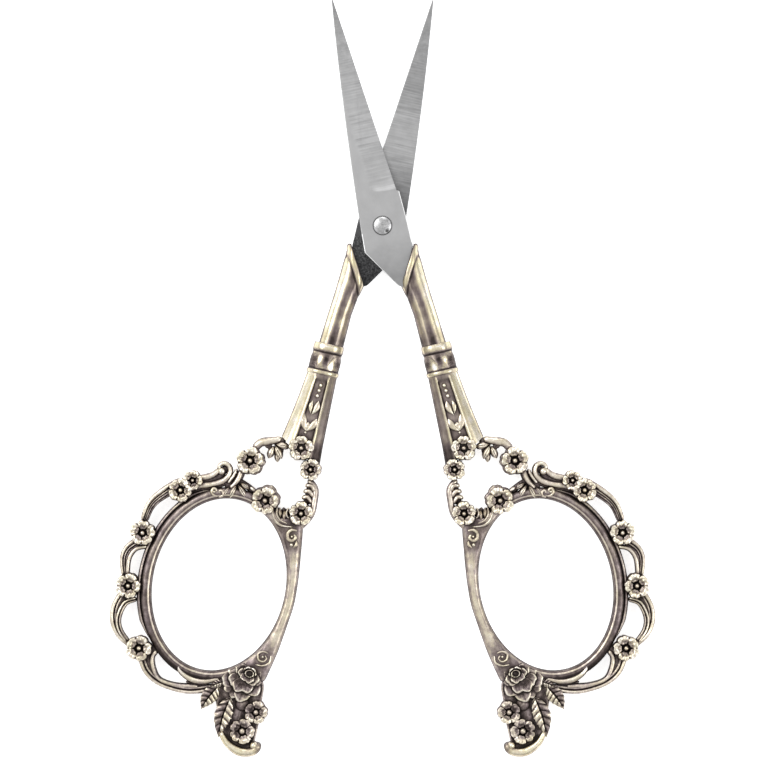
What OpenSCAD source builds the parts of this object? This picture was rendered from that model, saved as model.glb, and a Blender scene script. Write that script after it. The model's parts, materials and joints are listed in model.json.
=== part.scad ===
// Decorative scissors: two steel blades on one rivet, each cast into an ornate bow handle.
// Lengths are millimetres. Each half is drawn in its own closed frame: pivot at the origin,
// blade tip on +Y, handle on -Y and +X, mid-plane at z = 0. The left half is its mirror image.

/* [Opening] */
// Angle that each half is turned open at rest
rest_angle = 12.6; // [10:0.2:20]

/* [Blades] */
// Pivot to blade tip
blade_len = 38; // [34:1:42]
// Thickness of each blade
blade_t = 1.4; // [1.2:0.1:1.5]
// Spine to pivot, across the widest part of the blade
spine_w = 3.6; // [3.3:0.1:3.7]
// Cutting edge to pivot line, at the heel of the edge
heel_w = 3.5; // [3.2:0.1:3.6]
// Gap between the two blades' flat faces
blade_gap = 0.04; // [0.02:0.01:0.1]

/* [Pivot rivet] */
// Radius of the rivet's shank
rivet_r = 1.2; // [1:0.05:1.3]
// Radius of the rivet's round head
rivet_head_r = 1.55; // [1.4:0.05:1.6]
// Radial clearance of the rivet in the blade that turns on it
rivet_play = 0.04; // [0.02:0.01:0.08]

/* [Finger rings] */
// Half width of the finger hole
hole_a = 10.9; // [10:0.1:11]
// Half length of the finger hole
hole_b = 14.25; // [13.5:0.25:14.25]
// Width of the ring's band
band_w = 1.85; // [1.6:0.05:2]

/* [Thicknesses] */
// Half thickness of the blossoms, roses and collars, on which the scissors lie
relief_h = 2.4; // [2.3:0.1:2.6]
// Half thickness of the ring's band
band_h = 1.5; // [1.2:0.1:1.6]
// Half thickness of the border scrolls and the yoke scrolls
scroll_h = 1.25; // [1:0.05:1.4]
// Half thickness of the finial's back plate
plate_h = 0.8; // [0.6:0.1:1]

/* [Hidden] */
HANDLE_NODES = ["socket_shank", "collar", "fluted_shank", "bud_drop", "yoke_scrolls", "yoke_blossoms",
                "finger_ring", "curlicues", "border_scrolls", "border_blossoms", "finial", "rose",
                "leaves", "finial_blossoms"];
$fn = 24;

// Colours
steel = [0.68, 0.68, 0.69];
bright = [0.80, 0.80, 0.81];
bronze = [0.52, 0.46, 0.38];
gold = [0.72, 0.66, 0.48];

// Where features stand in the half frame
hole_c = [13.35, -63.35];
collar_y = [-20.9, -26];
mitre_top = [4.2, -4.3];
mitre_low = [0.85, -10.3];
lip_w = 1.1;
lip_rise = 0.25;
lip_top = -3.9;
grind_y = 5.5;
// Where the ground bevel starts at the heel, and how many degrees it leans
grind_line = [-1.6, 1.5];
heel_step = 0.35;
ricasso_out = 0.6;
ricasso_low = [-0.2, -3.7];
spine_bend = [0.63, 0.343];
tip_w = 0.12;
bevel_drop = 0.75;
taper_drop = 0.6;
washer_r = 1.9;
washer_t = 0.25;
head_rise = 0.35;
counterbore_r = rivet_head_r + 0.08;
counterbore_d = 0.5;
step = 0.5;
seam = 0.01;
far = 20;

// Petal radius as a share of its blossom's radius
petal_r = 0.48;
// Blossoms: centre and radius of each
yoke_flowers = [[5.05, -38.55, 2.1], [2.8, -41.65, 1.8], [2.75, -49.05, 2], [9, -48.25, 2.3],
                [12.8, -42.4, 2.3]];
border_flowers = [[21.3, -47.6, 1.65], [22.9, -49.6, 2], [27.45, -57.8, 2.1], [27.85, -66.8, 2.1],
                  [23.9, -76.4, 2.15]];
finial_flowers = [[3, -82.6, 1.85], [4.5, -86.05, 1.95]];
rose_at = [6.25, -77.95];
rose_r = 3.3;
rose_gap = 0.4;

// Strands: points of the centreline, then the widths at its start, middle and end
yoke_strands = [
    [[[8.3, -38.2], [10.1, -38.45], [11.6, -39.3], [12.5, -40.6]], [1.1, 1.2, 1.3]],
    [[[11, -39.2], [10.1, -39.4], [9.7, -40.4]], [1.3, 1.2, 0.9]],
    [[[2.8, -43.3], [1.35, -44.6], [1.05, -46.6], [1.15, -49], [2.6, -51.5]], [1, 1, 1.1]],
    [[[2.3, -43.4], [2, -45.3], [2.2, -47.4]], [1.4, 1.5, 1.4]],
    [[[1.2, -45.2], [2.2, -44.2], [3.3, -44.7]], [0.9, 1, 0.8]],
    [[[1.2, -46.2], [2.3, -45.3], [3.3, -45.7]], [0.9, 1, 0.8]],
    [[[1.3, -47.1], [2.3, -46.4], [3.2, -46.8]], [0.9, 1, 0.8]],
    [[[3.3, -51.7], [5.8, -51.1], [8, -49.6]], [1.1, 1.2, 1.1]],
    [[[4, -50.7], [5.8, -50.2], [7, -49]], [0.9, 1, 0.8]],
    [[[4.4, -49.7], [5.4, -49.4], [6, -48.3]], [0.8, 0.9, 0.7]],
    [[[13.7, -44.1], [14, -45.6], [14.8, -48.2]], [1.3, 1.4, 1.6]],
    [[[14.2, -45.9], [12.6, -46.5], [10.8, -47.3]], [1, 1.1, 1]]];
yoke_leaves = [[[8.3, -38.3], [7.9, -41.4], 1.5], [[8.4, -38.5], [9.3, -41.2], 1.3],
               [[8.5, -38.6], [10.3, -40.5], 1.3], [[6.9, -38.9], [9.1, -38.2], 1],
               [[13.8, -46], [11.6, -48], 1.3], [[13.8, -46.1], [13.2, -48.6], 1.4],
               [[14, -46.4], [15.3, -48.8], 1.3]];
border_strands = [
    [[[15.5, -47.8], [15.3, -45.6], [15.8, -44.3], [16.8, -43.8], [17.5, -44.4], [17, -45.1]], [1.2, 1.1, 1]],
    [[[17.3, -44.5], [18.6, -46.3], [20.9, -47.4]], [1.1, 1.3, 1.1]],
    [[[15.7, -46.6], [17.8, -47.5], [20.2, -48.3], [22.2, -49.7]], [1.1, 1.3, 1.2]],
    [[[22.6, -48.2], [25.2, -50.4], [27.1, -52.9], [27.7, -56]], [2.3, 1.8, 1.3]],
    [[[27.7, -59.2], [29.2, -60.9], [29.5, -62.8], [28.7, -65.4]], [1.7, 1.4, 1.1]],
    [[[26.2, -59.8], [27.9, -60.6], [28.7, -62.4], [28.4, -65.2]], [0.8, 0.8, 0.8]],
    [[[28.5, -68], [29.25, -70.4], [29, -72.8], [27.6, -74.9], [25.1, -76.3]], [1.1, 1.2, 1.1]],
    [[[26.4, -68.9], [27.9, -70], [28.3, -72.2], [27.6, -74.2], [25.8, -75.9]], [0.9, 1, 0.9]],
    [[[27.5, -68.2], [28.6, -70], [28.8, -72]], [1, 0.8, 0.5]],
    [[[23.4, -77.4], [21.9, -79.7], [19.8, -81], [17, -81.5], [14, -81.3], [10.2, -79.9]], [1.3, 1.1, 1.3]],
    [[[21.5, -77.4], [20.8, -79.2], [19.4, -80.7], [16.6, -81], [13, -80.4]], [1.1, 0.8, 0.9]],
    [[[22.5, -76.9], [21.4, -79.1], [20.2, -80.5]], [1.2, 1, 0.6]],
    [[[9.8, -78.5], [12, -79.4], [15.2, -79.7], [17.4, -78.1]], [1, 1.2, 0.8]]];
// Balls at the ends of the border's first scroll and of the finial's curl
scroll_ball = [17, -45.1, 0.65];
curl_ball = [2.05, -87.9, 0.7];
rim_arc = [-62, 63];
rim_w = 0.7;
stem_strand = [[[3.7, -50.3], [2.65, -55.5], [1.65, -62.7], [2.55, -70.5], [4.3, -77.5]], [3.2, 1.85, 3.3]];
curl_strand = [
    [[7.8, -86.9], [6.4, -88.6], [4.2, -89.6], [2.3, -89.3], [1.35, -88.2], [1.6, -87.3]], [0.9, 1.1, 1.1]];
plate_points = [[3, -79], [2.4, -81.5], [2, -84.5], [2.3, -88.4], [4.2, -89.5], [6.7, -88], [8.3, -85.7],
                [9, -82], [8.4, -79.4], [5.6, -78.4]];
curl_loops = [[3.3, -53.2, 0.75], [16.9, -48.75, 0.6], [3.7, -73.2, 0.75]];
leaf_axes = [[[7.9, -80.9], [8.3, -87.9], 3], [[10.2, -79.7], [12.2, -84.1], 2.3],
             [[8.6, -78.4], [11.6, -80.6], 1.8]];
leaf_h = 1.7;

// Shank sections: distance along Y, then where the inner and the outer edge stand, and the half thickness
socket_sections = [[-3, 0.7, 4.75, 1.9], [-10.4, 0.85, 5.15, 1.95], [-12.5, 1.35, 5.3, 1.95],
                   [-15.5, 1.8, 5.55, 2], [collar_y[0], 1.95, 6, 2]];
fluted_sections = [[collar_y[1], 1.87, 6.8, 2.05], [-30, 1.8, 7.35, 2.05], [-34, 1.72, 8, 2],
                   [-37.5, 1.65, 8.65, 1.9], [-40.5, 1.5, 9.3, 1.8]];
collar_sections = [[collar_y[0], 1.75, 6.75, relief_h], [collar_y[1], 1.65, 7.05, relief_h]];
rim_len = 0.95;
waist_d = 0.2;
tang_points = [[0.7, -9.6], [4.2, -3.5], [4.6, -12], [4.7, -19], [3.4, -19], [2.6, -13]];
panel_points = [[3.2, -26.8], [5.3, -26.8], [6.3, -37.6], [3.4, -37.6]];
panel_d = 0.3;
band_chamfer = 0.35;
curl_w = 0.4;
curl_rise = 0.3;
tail_t = 0.3;
bead_places = [[4.15, -27.8], [4.25, -28.7], [4.35, -29.6]];
bead_r = 0.42;
bud_leaves = [[[4.15, -30.3], [4.5, -32.7], 0.9], [[4.9, -30.6], [4.5, -32.7], 0.8],
              [[3.7, -33], [4.9, -35.5], 1], [[5.65, -33], [4.9, -35.5], 1],
              [[4.8, -32.8], [4.9, -35.4], 0.8]];

// Where the pivot stands, so that the origin is under the middle of the open scissors
function turned_y(p) = p.x * sin(rest_angle) + p.y * cos(rest_angle);
tip_y = turned_y([0, blade_len]);
tail_y = min([for (p = ribbon(smooth(curl_strand[0]), curl_strand[1])) turned_y(p)]);
pivot_y = -(tip_y + tail_y) / 2;

// ---- Curves ----

// Catmull-Rom curve through the points of p
function smooth(p, n = 5) = concat(
    [for (i = [0 : len(p) - 2], k = [0 : n - 1]) let (
        t = k / n,
        a = p[max(i - 1, 0)], b = p[i], c = p[i + 1], d = p[min(i + 2, len(p) - 1)])
        (2 * b + (c - a) * t + (2 * a - 5 * b + 4 * c - d) * t * t
            + (3 * b - a - 3 * c + d) * t * t * t) / 2],
    [p[len(p) - 1]]);

// Width at the share t of the way along, from its start, middle and end
function width_at(w, t) = t < 0.5 ? w[0] + (w[1] - w[0]) * 2 * t : w[1] + (w[2] - w[1]) * (2 * t - 1);

// Outline of a strand of width w about the curve c
function ribbon(c, w) = let (
    last = len(c) - 1,
    side = [for (i = [0 : last]) let (d = c[min(i + 1, last)] - c[max(i - 1, 0)])
            [-d.y, d.x] / norm(d) * width_at(w, i / last) / 2])
    concat([for (i = [0 : last]) c[i] + side[i]], [for (i = [last : -1 : 0]) c[i] - side[i]]);

function ellipse(c, a, b, n = 72) = [for (i = [0 : n - 1]) c + [a * cos(360 * i / n), b * sin(360 * i / n)]];

// A pointed leaf from p to q
function leaf(p, q, w, n = 8) = let (d = q - p, s = [-d.y, d.x] / norm(d))
    concat([for (i = [0 : n]) p + d * i / n + s * w / 2 * sin(180 * pow(i / n, 0.8))],
           [for (i = [n - 1 : -1 : 1]) p + d * i / n - s * w / 2 * sin(180 * pow(i / n, 0.8))]);

// ---- Shared shapes ----

module strand(s) polygon(ribbon(smooth(s[0]), s[1]));

// An outline pulled in by the seam, so that neighbouring zones of a casting meet without overlapping
module zone() offset(delta = -seam) children();

module slab(half) linear_extrude(2 * half, center = true) zone() children();

// The same shape on the front and on the back of the casting, from z = low to z = high
module both_faces(low, high) for (s = [0, 1]) mirror([0, 0, s]) translate([0, 0, low])
    linear_extrude(high - low) zone() children();

module blossom_2d(f) translate([f[0], f[1]]) {
    circle(0.7 * f[2]);
    for (k = [0 : 4]) rotate(72 * k + 90) translate([(1 - petal_r) * f[2], 0]) circle(petal_r * f[2]);
}

module blossoms_2d(flowers) for (f = flowers) blossom_2d(f);

module blossom(f) {
    slab(relief_h - step) blossom_2d(f);
    both_faces(relief_h - step, relief_h) translate([f[0], f[1]]) circle(0.5 * f[2]);
}

module leaf_shapes_2d(axes) for (a = axes) polygon(leaf(a[0], a[1], a[2]));

// An eight-sided solid through sections of [y, inner x, outer x, half thickness]
module shank(sections, grow = 0) {
    corner = [[1, 0.45], [0.5, 1], [-0.5, 1], [-1, 0.45], [-1, -0.45], [-0.5, -1], [0.5, -1], [1, -0.45]];
    n = len(sections);
    points = [for (s = sections, c = corner)
        [(s[1] + s[2]) / 2 + c.x * ((s[2] - s[1]) / 2 + grow), s[0], c.y * (s[3] + grow)]];
    sides = [for (i = [0 : n - 2], k = [0 : 7], half = [0, 1]) let (a = 8 * i + k, b = 8 * i + (k + 1) % 8)
        half == 0 ? [a, a + 8, b + 8] : [a, b + 8, b]];
    polyhedron(points, concat([[for (k = [0 : 7]) k]], sides, [[for (k = [7 : -1 : 0]) 8 * (n - 1) + k]]));
}

// Everything below the mitre line, moved down by d
module below_mitre(d = 0) {
    slope = atan2(mitre_top.y - mitre_low.y, mitre_top.x - mitre_low.x);
    translate([mitre_low.x, mitre_low.y]) rotate(slope) translate([-far, -2 * far - d, -far]) cube(2 * far);
}

// ---- Outlines of the casting's zones, each cut back from those that stand above it ----

// The rose keeps clear of the finger hole
module rose_2d() difference() {
    translate(rose_at) {
        circle(0.75 * rose_r);
        for (k = [0 : 4]) rotate(72 * k + 54) translate([0.5 * rose_r, 0]) circle(0.5 * rose_r);
    }
    polygon(ellipse(hole_c, hole_a + rose_gap, hole_b + rose_gap));
}

module ball_2d(b) translate([b[0], b[1]]) circle(b[2]);

module curl_2d() {
    strand(curl_strand);
    ball_2d(curl_ball);
}

module raised_2d() {
    rose_2d();
    blossoms_2d(yoke_flowers);
    blossoms_2d(border_flowers);
    blossoms_2d(finial_flowers);
}

module leaf_spray_2d() difference() {
    leaf_shapes_2d(leaf_axes);
    rose_2d();
    blossoms_2d(finial_flowers);
}

module ring_2d(inset = 0) difference() {
    union() {
        polygon(ellipse(hole_c, hole_a + band_w - inset, hole_b + band_w - inset));
        polygon(ribbon(smooth(stem_strand[0]), stem_strand[1] - [inset, inset, inset]));
    }
    polygon(ellipse(hole_c, hole_a + inset, hole_b + inset));
    raised_2d();
    leaf_spray_2d();
}

module yoke_2d() difference() {
    union() {
        for (s = yoke_strands) strand(s);
        leaf_shapes_2d(yoke_leaves);
    }
    ring_2d();
    raised_2d();
    polygon(ellipse(hole_c, hole_a, hole_b));
    fluted_end_2d();
}

module border_2d() difference() {
    union() {
        for (s = border_strands) strand(s);
        ball_2d(scroll_ball);
        strand([[for (t = [rim_arc[0] : 12.5 : rim_arc[1]])
            hole_c + [(hole_a + band_w + rim_w / 2) * cos(t), (hole_b + band_w + rim_w / 2) * sin(t)]],
            [rim_w, rim_w, rim_w]]);
    }
    ring_2d();
    yoke_2d();
    raised_2d();
    leaf_spray_2d();
    polygon(ellipse(hole_c, hole_a, hole_b));
}

module finial_2d() difference() {
    union() {
        polygon(smooth(concat(plate_points, [plate_points[0]])));
        curl_2d();
    }
    ring_2d();
    border_2d();
    raised_2d();
    leaf_spray_2d();
    polygon(ellipse(hole_c, hole_a, hole_b));
}

// The lower end of the fluted shank, which the yoke's first blossom covers
module fluted_end_2d() polygon([[1.7, -36], [8.3, -36], [8.65, -37.6], [5, -39.4], [1.5, -40.3]]);

// ---- Sub-parts of one half ----

// A blade with its tang. Its flat inner face is at z = 0 and its ground outer face is above.
module blade_body() {
    spine = [for (k = [0 : 10]) let (u = k / 10)
        [-spine_w * (1 - spine_bend[0] * u - spine_bend[1] * u * u), blade_len * u]];
    outline = concat([[tip_w, blade_len], [heel_w, grind_y - 0.2], [heel_w + heel_step, grind_y - 0.5],
                      [heel_w + ricasso_out, 0], [mitre_top.x - 0.05, mitre_top.y], mitre_low, [0.3, -10.1],
                      [ricasso_low.x - spine_w, ricasso_low.y]], spine);
    bevel = atan2(bevel_drop, heel_w + 0.8);
    taper = atan2(taper_drop, blade_len - grind_y);
    difference() {
        union() {
            linear_extrude(blade_t) polygon(outline);
            linear_extrude(blade_t) polygon(tang_points);
        }
        // the ground bevel, from a line near the spine down to the cutting edge
        translate([grind_line[0], grind_y, blade_t]) rotate(-grind_line[1]) rotate([0, bevel, 0])
            cube([far, 2 * far, far]);
        // the blade thins towards its tip
        translate([-far, grind_y, blade_t]) rotate([-taper, 0, 0]) cube([2 * far, 2 * far, far]);
    }
}

module front_blade() color(steel) front_half(blade_gap / 2) difference() {
    blade_body();
    translate([0, 0, -1]) cylinder(h = blade_t + 2, r = rivet_r);
    translate([0, 0, blade_t - counterbore_d]) cylinder(h = 2, r = counterbore_r);
}

module back_blade() color(steel) back_half(-blade_gap / 2) mirror([0, 0, 1]) difference() {
    blade_body();
    translate([0, 0, -1]) cylinder(h = blade_t + 2, r = rivet_r + rivet_play);
}

// Shank, domed head in the front blade's counterbore and peened tail under the washer
module pivot_rivet() color(bright) front_half() {
    top = blade_gap / 2 + blade_t;
    tail = -top - washer_t - rivet_play;
    dome_r = (rivet_head_r * rivet_head_r + head_rise * head_rise) / (2 * head_rise);
    translate([0, 0, tail]) cylinder(h = top - counterbore_d - tail, r = rivet_r);
    translate([0, 0, top - counterbore_d]) cylinder(h = counterbore_d, r = rivet_head_r);
    intersection() {
        translate([0, 0, top]) cylinder(h = head_rise + 1, r = rivet_head_r);
        translate([0, 0, top + head_rise - dome_r]) sphere(dome_r);
    }
    translate([0, 0, tail - tail_t]) cylinder(h = tail_t, r = rivet_head_r);
}

module rivet_washer() color(bright) front_half() difference() {
    low = -blade_gap / 2 - blade_t - washer_t - rivet_play / 2;
    translate([0, 0, low]) cylinder(h = washer_t, r = washer_r);
    translate([0, 0, low - 1]) cylinder(h = 3, r = rivet_r + rivet_play / 2);
}

// Upper shank: mitred end with a raised lip, and the slot that the tang is cast into
module socket_shank(tang_z) color(bronze) difference() {
    union() {
        intersection() {
            shank(socket_sections);
            below_mitre(lip_w / 2);
        }
        intersection() {
            shank(socket_sections, lip_rise);
            translate([-far, lip_top - 2 * far, -far]) cube(2 * far);
            difference() {
                below_mitre();
                below_mitre(lip_w);
            }
        }
    }
    translate([0, 0, tang_z]) linear_extrude(blade_t) polygon(tang_points);
}

module collar() color(gold) difference() {
    shank(collar_sections);
    // the waist between the two rims
    difference() {
        translate([-far, collar_y[1] + rim_len, -far])
            cube([2 * far, collar_y[0] - collar_y[1] - 2 * rim_len, 2 * far]);
        shank(collar_sections, -waist_d);
    }
}

module fluted_shank() color(bronze) difference() {
    intersection() {
        shank(fluted_sections);
        slab(far) polygon([[0, collar_y[1]], [10, collar_y[1]], [9.4, -37.2], [5, -39.4], [1, -40.6]]);
    }
    slab(far) raised_2d();
    both_faces(fluted_sections[0][3] - panel_d, far) polygon(panel_points);
}

// A drop of beads, a bud and a tulip in the shank's sunk panels
module bud_drop() color(gold) {
    floor_z = fluted_sections[0][3] - panel_d;
    both_faces(floor_z, floor_z + panel_d) difference() {
        leaf_shapes_2d(bud_leaves);
        raised_2d();
    }
    both_faces(floor_z, floor_z + panel_d) for (b = bead_places) translate(b) circle(bead_r);
}

module finger_ring() color(bronze) {
    slab(band_h - step) ring_2d();
    both_faces(band_h - step, band_h) ring_2d(band_chamfer);
}

// Small open curls on the ring's faces, each with a bead below it
module curlicues() color(gold) both_faces(band_h, band_h + curl_rise) difference() {
    for (c = curl_loops) translate([c[0], c[1]]) {
        difference() {
            circle(c[2]);
            circle(c[2] - curl_w);
        }
        translate([0, -c[2] - curl_w]) circle(curl_w);
    }
    raised_2d();
}

module yoke_scrolls() color(bronze) slab(scroll_h) yoke_2d();

module border_scrolls() color(bronze) slab(scroll_h) border_2d();

module yoke_blossoms() color(gold) for (f = yoke_flowers) blossom(f);

module border_blossoms() color(gold) for (f = border_flowers) blossom(f);

module finial_blossoms() color(gold) for (f = finial_flowers) blossom(f);

module rose() color(gold) difference() {
    union() {
        slab(relief_h - step) rose_2d();
        both_faces(relief_h - step, relief_h) translate(rose_at) circle(0.6 * rose_r);
    }
    slab(far) blossoms_2d(finial_flowers);
}

module leaves() color(gold) slab(leaf_h) leaf_spray_2d();

module finial() color(bronze) {
    slab(plate_h) finial_2d();
    both_faces(plate_h, relief_h - step) intersection() {
        finial_2d();
        curl_2d();
    }
}

// ---- Placing ----

module lifted(z) translate([0, pivot_y, relief_h + z]) children();

// The front half: blade tip to the left, handle on the right
module front_half(z = 0) lifted(z) rotate(rest_angle) children();

// The back half: blade tip to the right, handle on the left
module back_half(z = 0) lifted(z) rotate(-rest_angle) mirror([1, 0, 0]) children();

module handle_part(name, tang_z) {
    if (name == "socket_shank") socket_shank(tang_z);
    if (name == "collar") collar();
    if (name == "fluted_shank") fluted_shank();
    if (name == "bud_drop") bud_drop();
    if (name == "yoke_scrolls") yoke_scrolls();
    if (name == "yoke_blossoms") yoke_blossoms();
    if (name == "finger_ring") finger_ring();
    if (name == "curlicues") curlicues();
    if (name == "border_scrolls") border_scrolls();
    if (name == "border_blossoms") border_blossoms();
    if (name == "finial") finial();
    if (name == "rose") rose();
    if (name == "leaves") leaves();
    if (name == "finial_blossoms") finial_blossoms();
}

front_blade();
back_blade();
pivot_rivet();
rivet_washer();
for (name = HANDLE_NODES) {
    front_half() handle_part(name, blade_gap / 2);
    back_half() handle_part(name, -blade_gap / 2 - blade_t);
}
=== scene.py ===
"""Looks of the open ornamental scissors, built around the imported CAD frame.

Shapes are drawn in millimetres in the closed frame of one half: pivot at the origin, blade tip on +Y,
handle on -Y and +X, mid-plane at z = 0. to_world() turns a half open, mirrors the left one, and goes to
metres.
"""

import json
import math

import bmesh
import bpy
import numpy as np
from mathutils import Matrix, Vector


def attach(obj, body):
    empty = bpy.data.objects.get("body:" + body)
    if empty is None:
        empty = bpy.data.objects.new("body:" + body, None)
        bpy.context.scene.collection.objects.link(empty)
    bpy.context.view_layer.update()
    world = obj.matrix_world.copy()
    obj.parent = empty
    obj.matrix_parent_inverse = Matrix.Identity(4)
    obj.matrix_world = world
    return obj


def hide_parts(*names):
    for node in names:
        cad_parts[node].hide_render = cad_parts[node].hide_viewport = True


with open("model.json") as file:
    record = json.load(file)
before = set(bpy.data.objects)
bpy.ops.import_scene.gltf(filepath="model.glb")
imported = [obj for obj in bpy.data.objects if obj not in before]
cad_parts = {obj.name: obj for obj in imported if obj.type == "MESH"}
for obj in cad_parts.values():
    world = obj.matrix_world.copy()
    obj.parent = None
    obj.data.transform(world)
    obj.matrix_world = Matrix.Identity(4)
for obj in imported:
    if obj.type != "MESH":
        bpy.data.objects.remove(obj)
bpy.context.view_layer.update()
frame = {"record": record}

JOINT = frame["record"]["behaviour"]["joints"][0]
PIVOT = np.array(JOINT["pos_m"]) * 1000
# each half stands open by half of what the joint can close
REST = math.radians(-JOINT["range_deg"][0] / 2)
BODY = {"right": "front_half", "left": "back_half"}

# Points this near to each other are one, in metres
SAME_POINT = 2e-7

# Sizes in millimetres
RELIEF_H = 2.4
BAND_H = 1.5
SCROLL_H = 1.25
PLATE_H = 0.8
LEAF_H = 1.7
HOLE_C = np.array([13.35, -63.35])
HOLE_A, HOLE_B, BAND_W = 10.9, 14.25, 1.85
BLADE_LEN, BLADE_T, BLADE_GAP = 38.0, 1.4, 0.04
SPINE_W, HEEL_W, GRIND_Y = 3.6, 3.5, 5.5
MITRE_TOP, MITRE_LOW = np.array([4.2, -4.3]), np.array([0.85, -10.3])
RIVET_R, HEAD_R, HEAD_RISE = 1.2, 1.55, 0.35
BORE_R, SEAT_R, SEAT_DEPTH = 1.24, 1.63, 0.4
WASHER_BORE, WASHER_R = 1.22, 1.9
# the outer face of the front blade
FACE_Z = BLADE_GAP / 2 + BLADE_T

# Blossoms: centre and radius
YOKE_FLOWERS = [(5.05, -38.55, 2.1), (2.8, -41.65, 1.8), (2.75, -49.05, 2), (9, -48.25, 2.3),
                (12.8, -42.4, 2.3)]
BORDER_FLOWERS = [(21.3, -47.6, 1.65), (22.9, -49.6, 2), (27.45, -57.8, 2.1), (27.85, -66.8, 2.1),
                  (23.9, -76.4, 2.15)]
FINIAL_FLOWERS = [(2.85, -82.5, 1.95), (4.4, -86, 2.15)]
YOKE_MID, LARGE_FLOWER = (7.3, -44.5), 2.2
PETALS, PETAL_R = 5, 0.54
ROSE_AT, ROSE_R, ROSE_GAP = (6.15, -77.95), 3.5, 0.35
BRACT = (5.3, -81.7, 1.15)

# Strands: points of the centreline, widths at its start, middle and end, and where grooves run between its
# ridges (None for the sunk metal between two strands)
YOKE_STRANDS = [
    ([(8.5, -37.7), (9.4, -38.2), (10.6, -38.65), (11.8, -39.2), (12.6, -40.5)], (0.9, 1.35, 1.2), ()),
    ([(8, -37.5), (8.6, -38.4), (9.4, -39.1)], (1, 1.3, 1.2), None),
    ([(11, -39.3), (10.2, -39.4), (9.7, -40.3)], (1.1, 0.9, 0.6), None),
    ([(8.6, -38.6), (8.6, -39.6), (8.4, -41.4)], (1.6, 1.6, 0.5), None),
    ([(7, -38.8), (8, -38.9), (9, -39.2)], (0.9, 1.1, 1.2), None),
    ([(2.8, -43.3), (1.35, -44.6), (1.05, -46.6), (1.15, -49), (2.6, -51.5)], (0.9, 1, 1), ()),
    ([(2.3, -43.4), (2, -45.3), (2.2, -47.4)], (1.4, 1.5, 1.4), None),
    ([(1.3, -45.1), (2.1, -44.2), (3.1, -44.5)], (0.6, 0.85, 0.6), ()),
    ([(1.3, -46.1), (2.2, -45.2), (3.2, -45.5)], (0.6, 0.85, 0.6), ()),
    ([(1.4, -47.1), (2.3, -46.2), (3.2, -46.6)], (0.6, 0.8, 0.6), ()),
    ([(3.3, -51.7), (5.8, -51.1), (8, -49.6)], (1.1, 1.2, 1.1), None),
    ([(4, -50.7), (5.8, -50.2), (7, -49)], (0.9, 1.2, 0.9), None),
    ([(4.4, -49.7), (5.4, -49.4), (5.8, -48.7)], (0.8, 1, 0.6), None),
    ([(13.7, -44.1), (14, -45.6), (14.8, -48.2)], (1.3, 1.4, 1.6), None),
    ([(13.85, -44.1), (14, -45.6), (14.5, -46.8), (15.2, -47.7)], (0.8, 0.95, 0.7), ()),
    ([(14.6, -44.2), (14.95, -45.5), (15.6, -46.9)], (0.45, 0.55, 0.4), ()),
    ([(14.2, -45.9), (12.6, -46.5), (10.8, -47.3)], (1, 1.1, 1), None),
    ([(12, -46.6), (11.3, -46.9), (10.6, -47.3)], (0.5, 0.6, 0.5), ()),
]
YOKE_LOOPS = [([(3.4, -51.4), (5.2, -51.65), (6.5, -51.1), (7.3, -50), (7.4, -48.9)], (0.4, 0.6, 0.5)),
              ([(4.4, -51.1), (5.7, -50.9), (6.6, -50), (6.8, -48.7)], (0.35, 0.55, 0.45)),
              ([(4.2, -50.2), (4.8, -50), (5.1, -49.3), (4.9, -48.6)], (0.4, 0.6, 0.45))]
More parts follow.
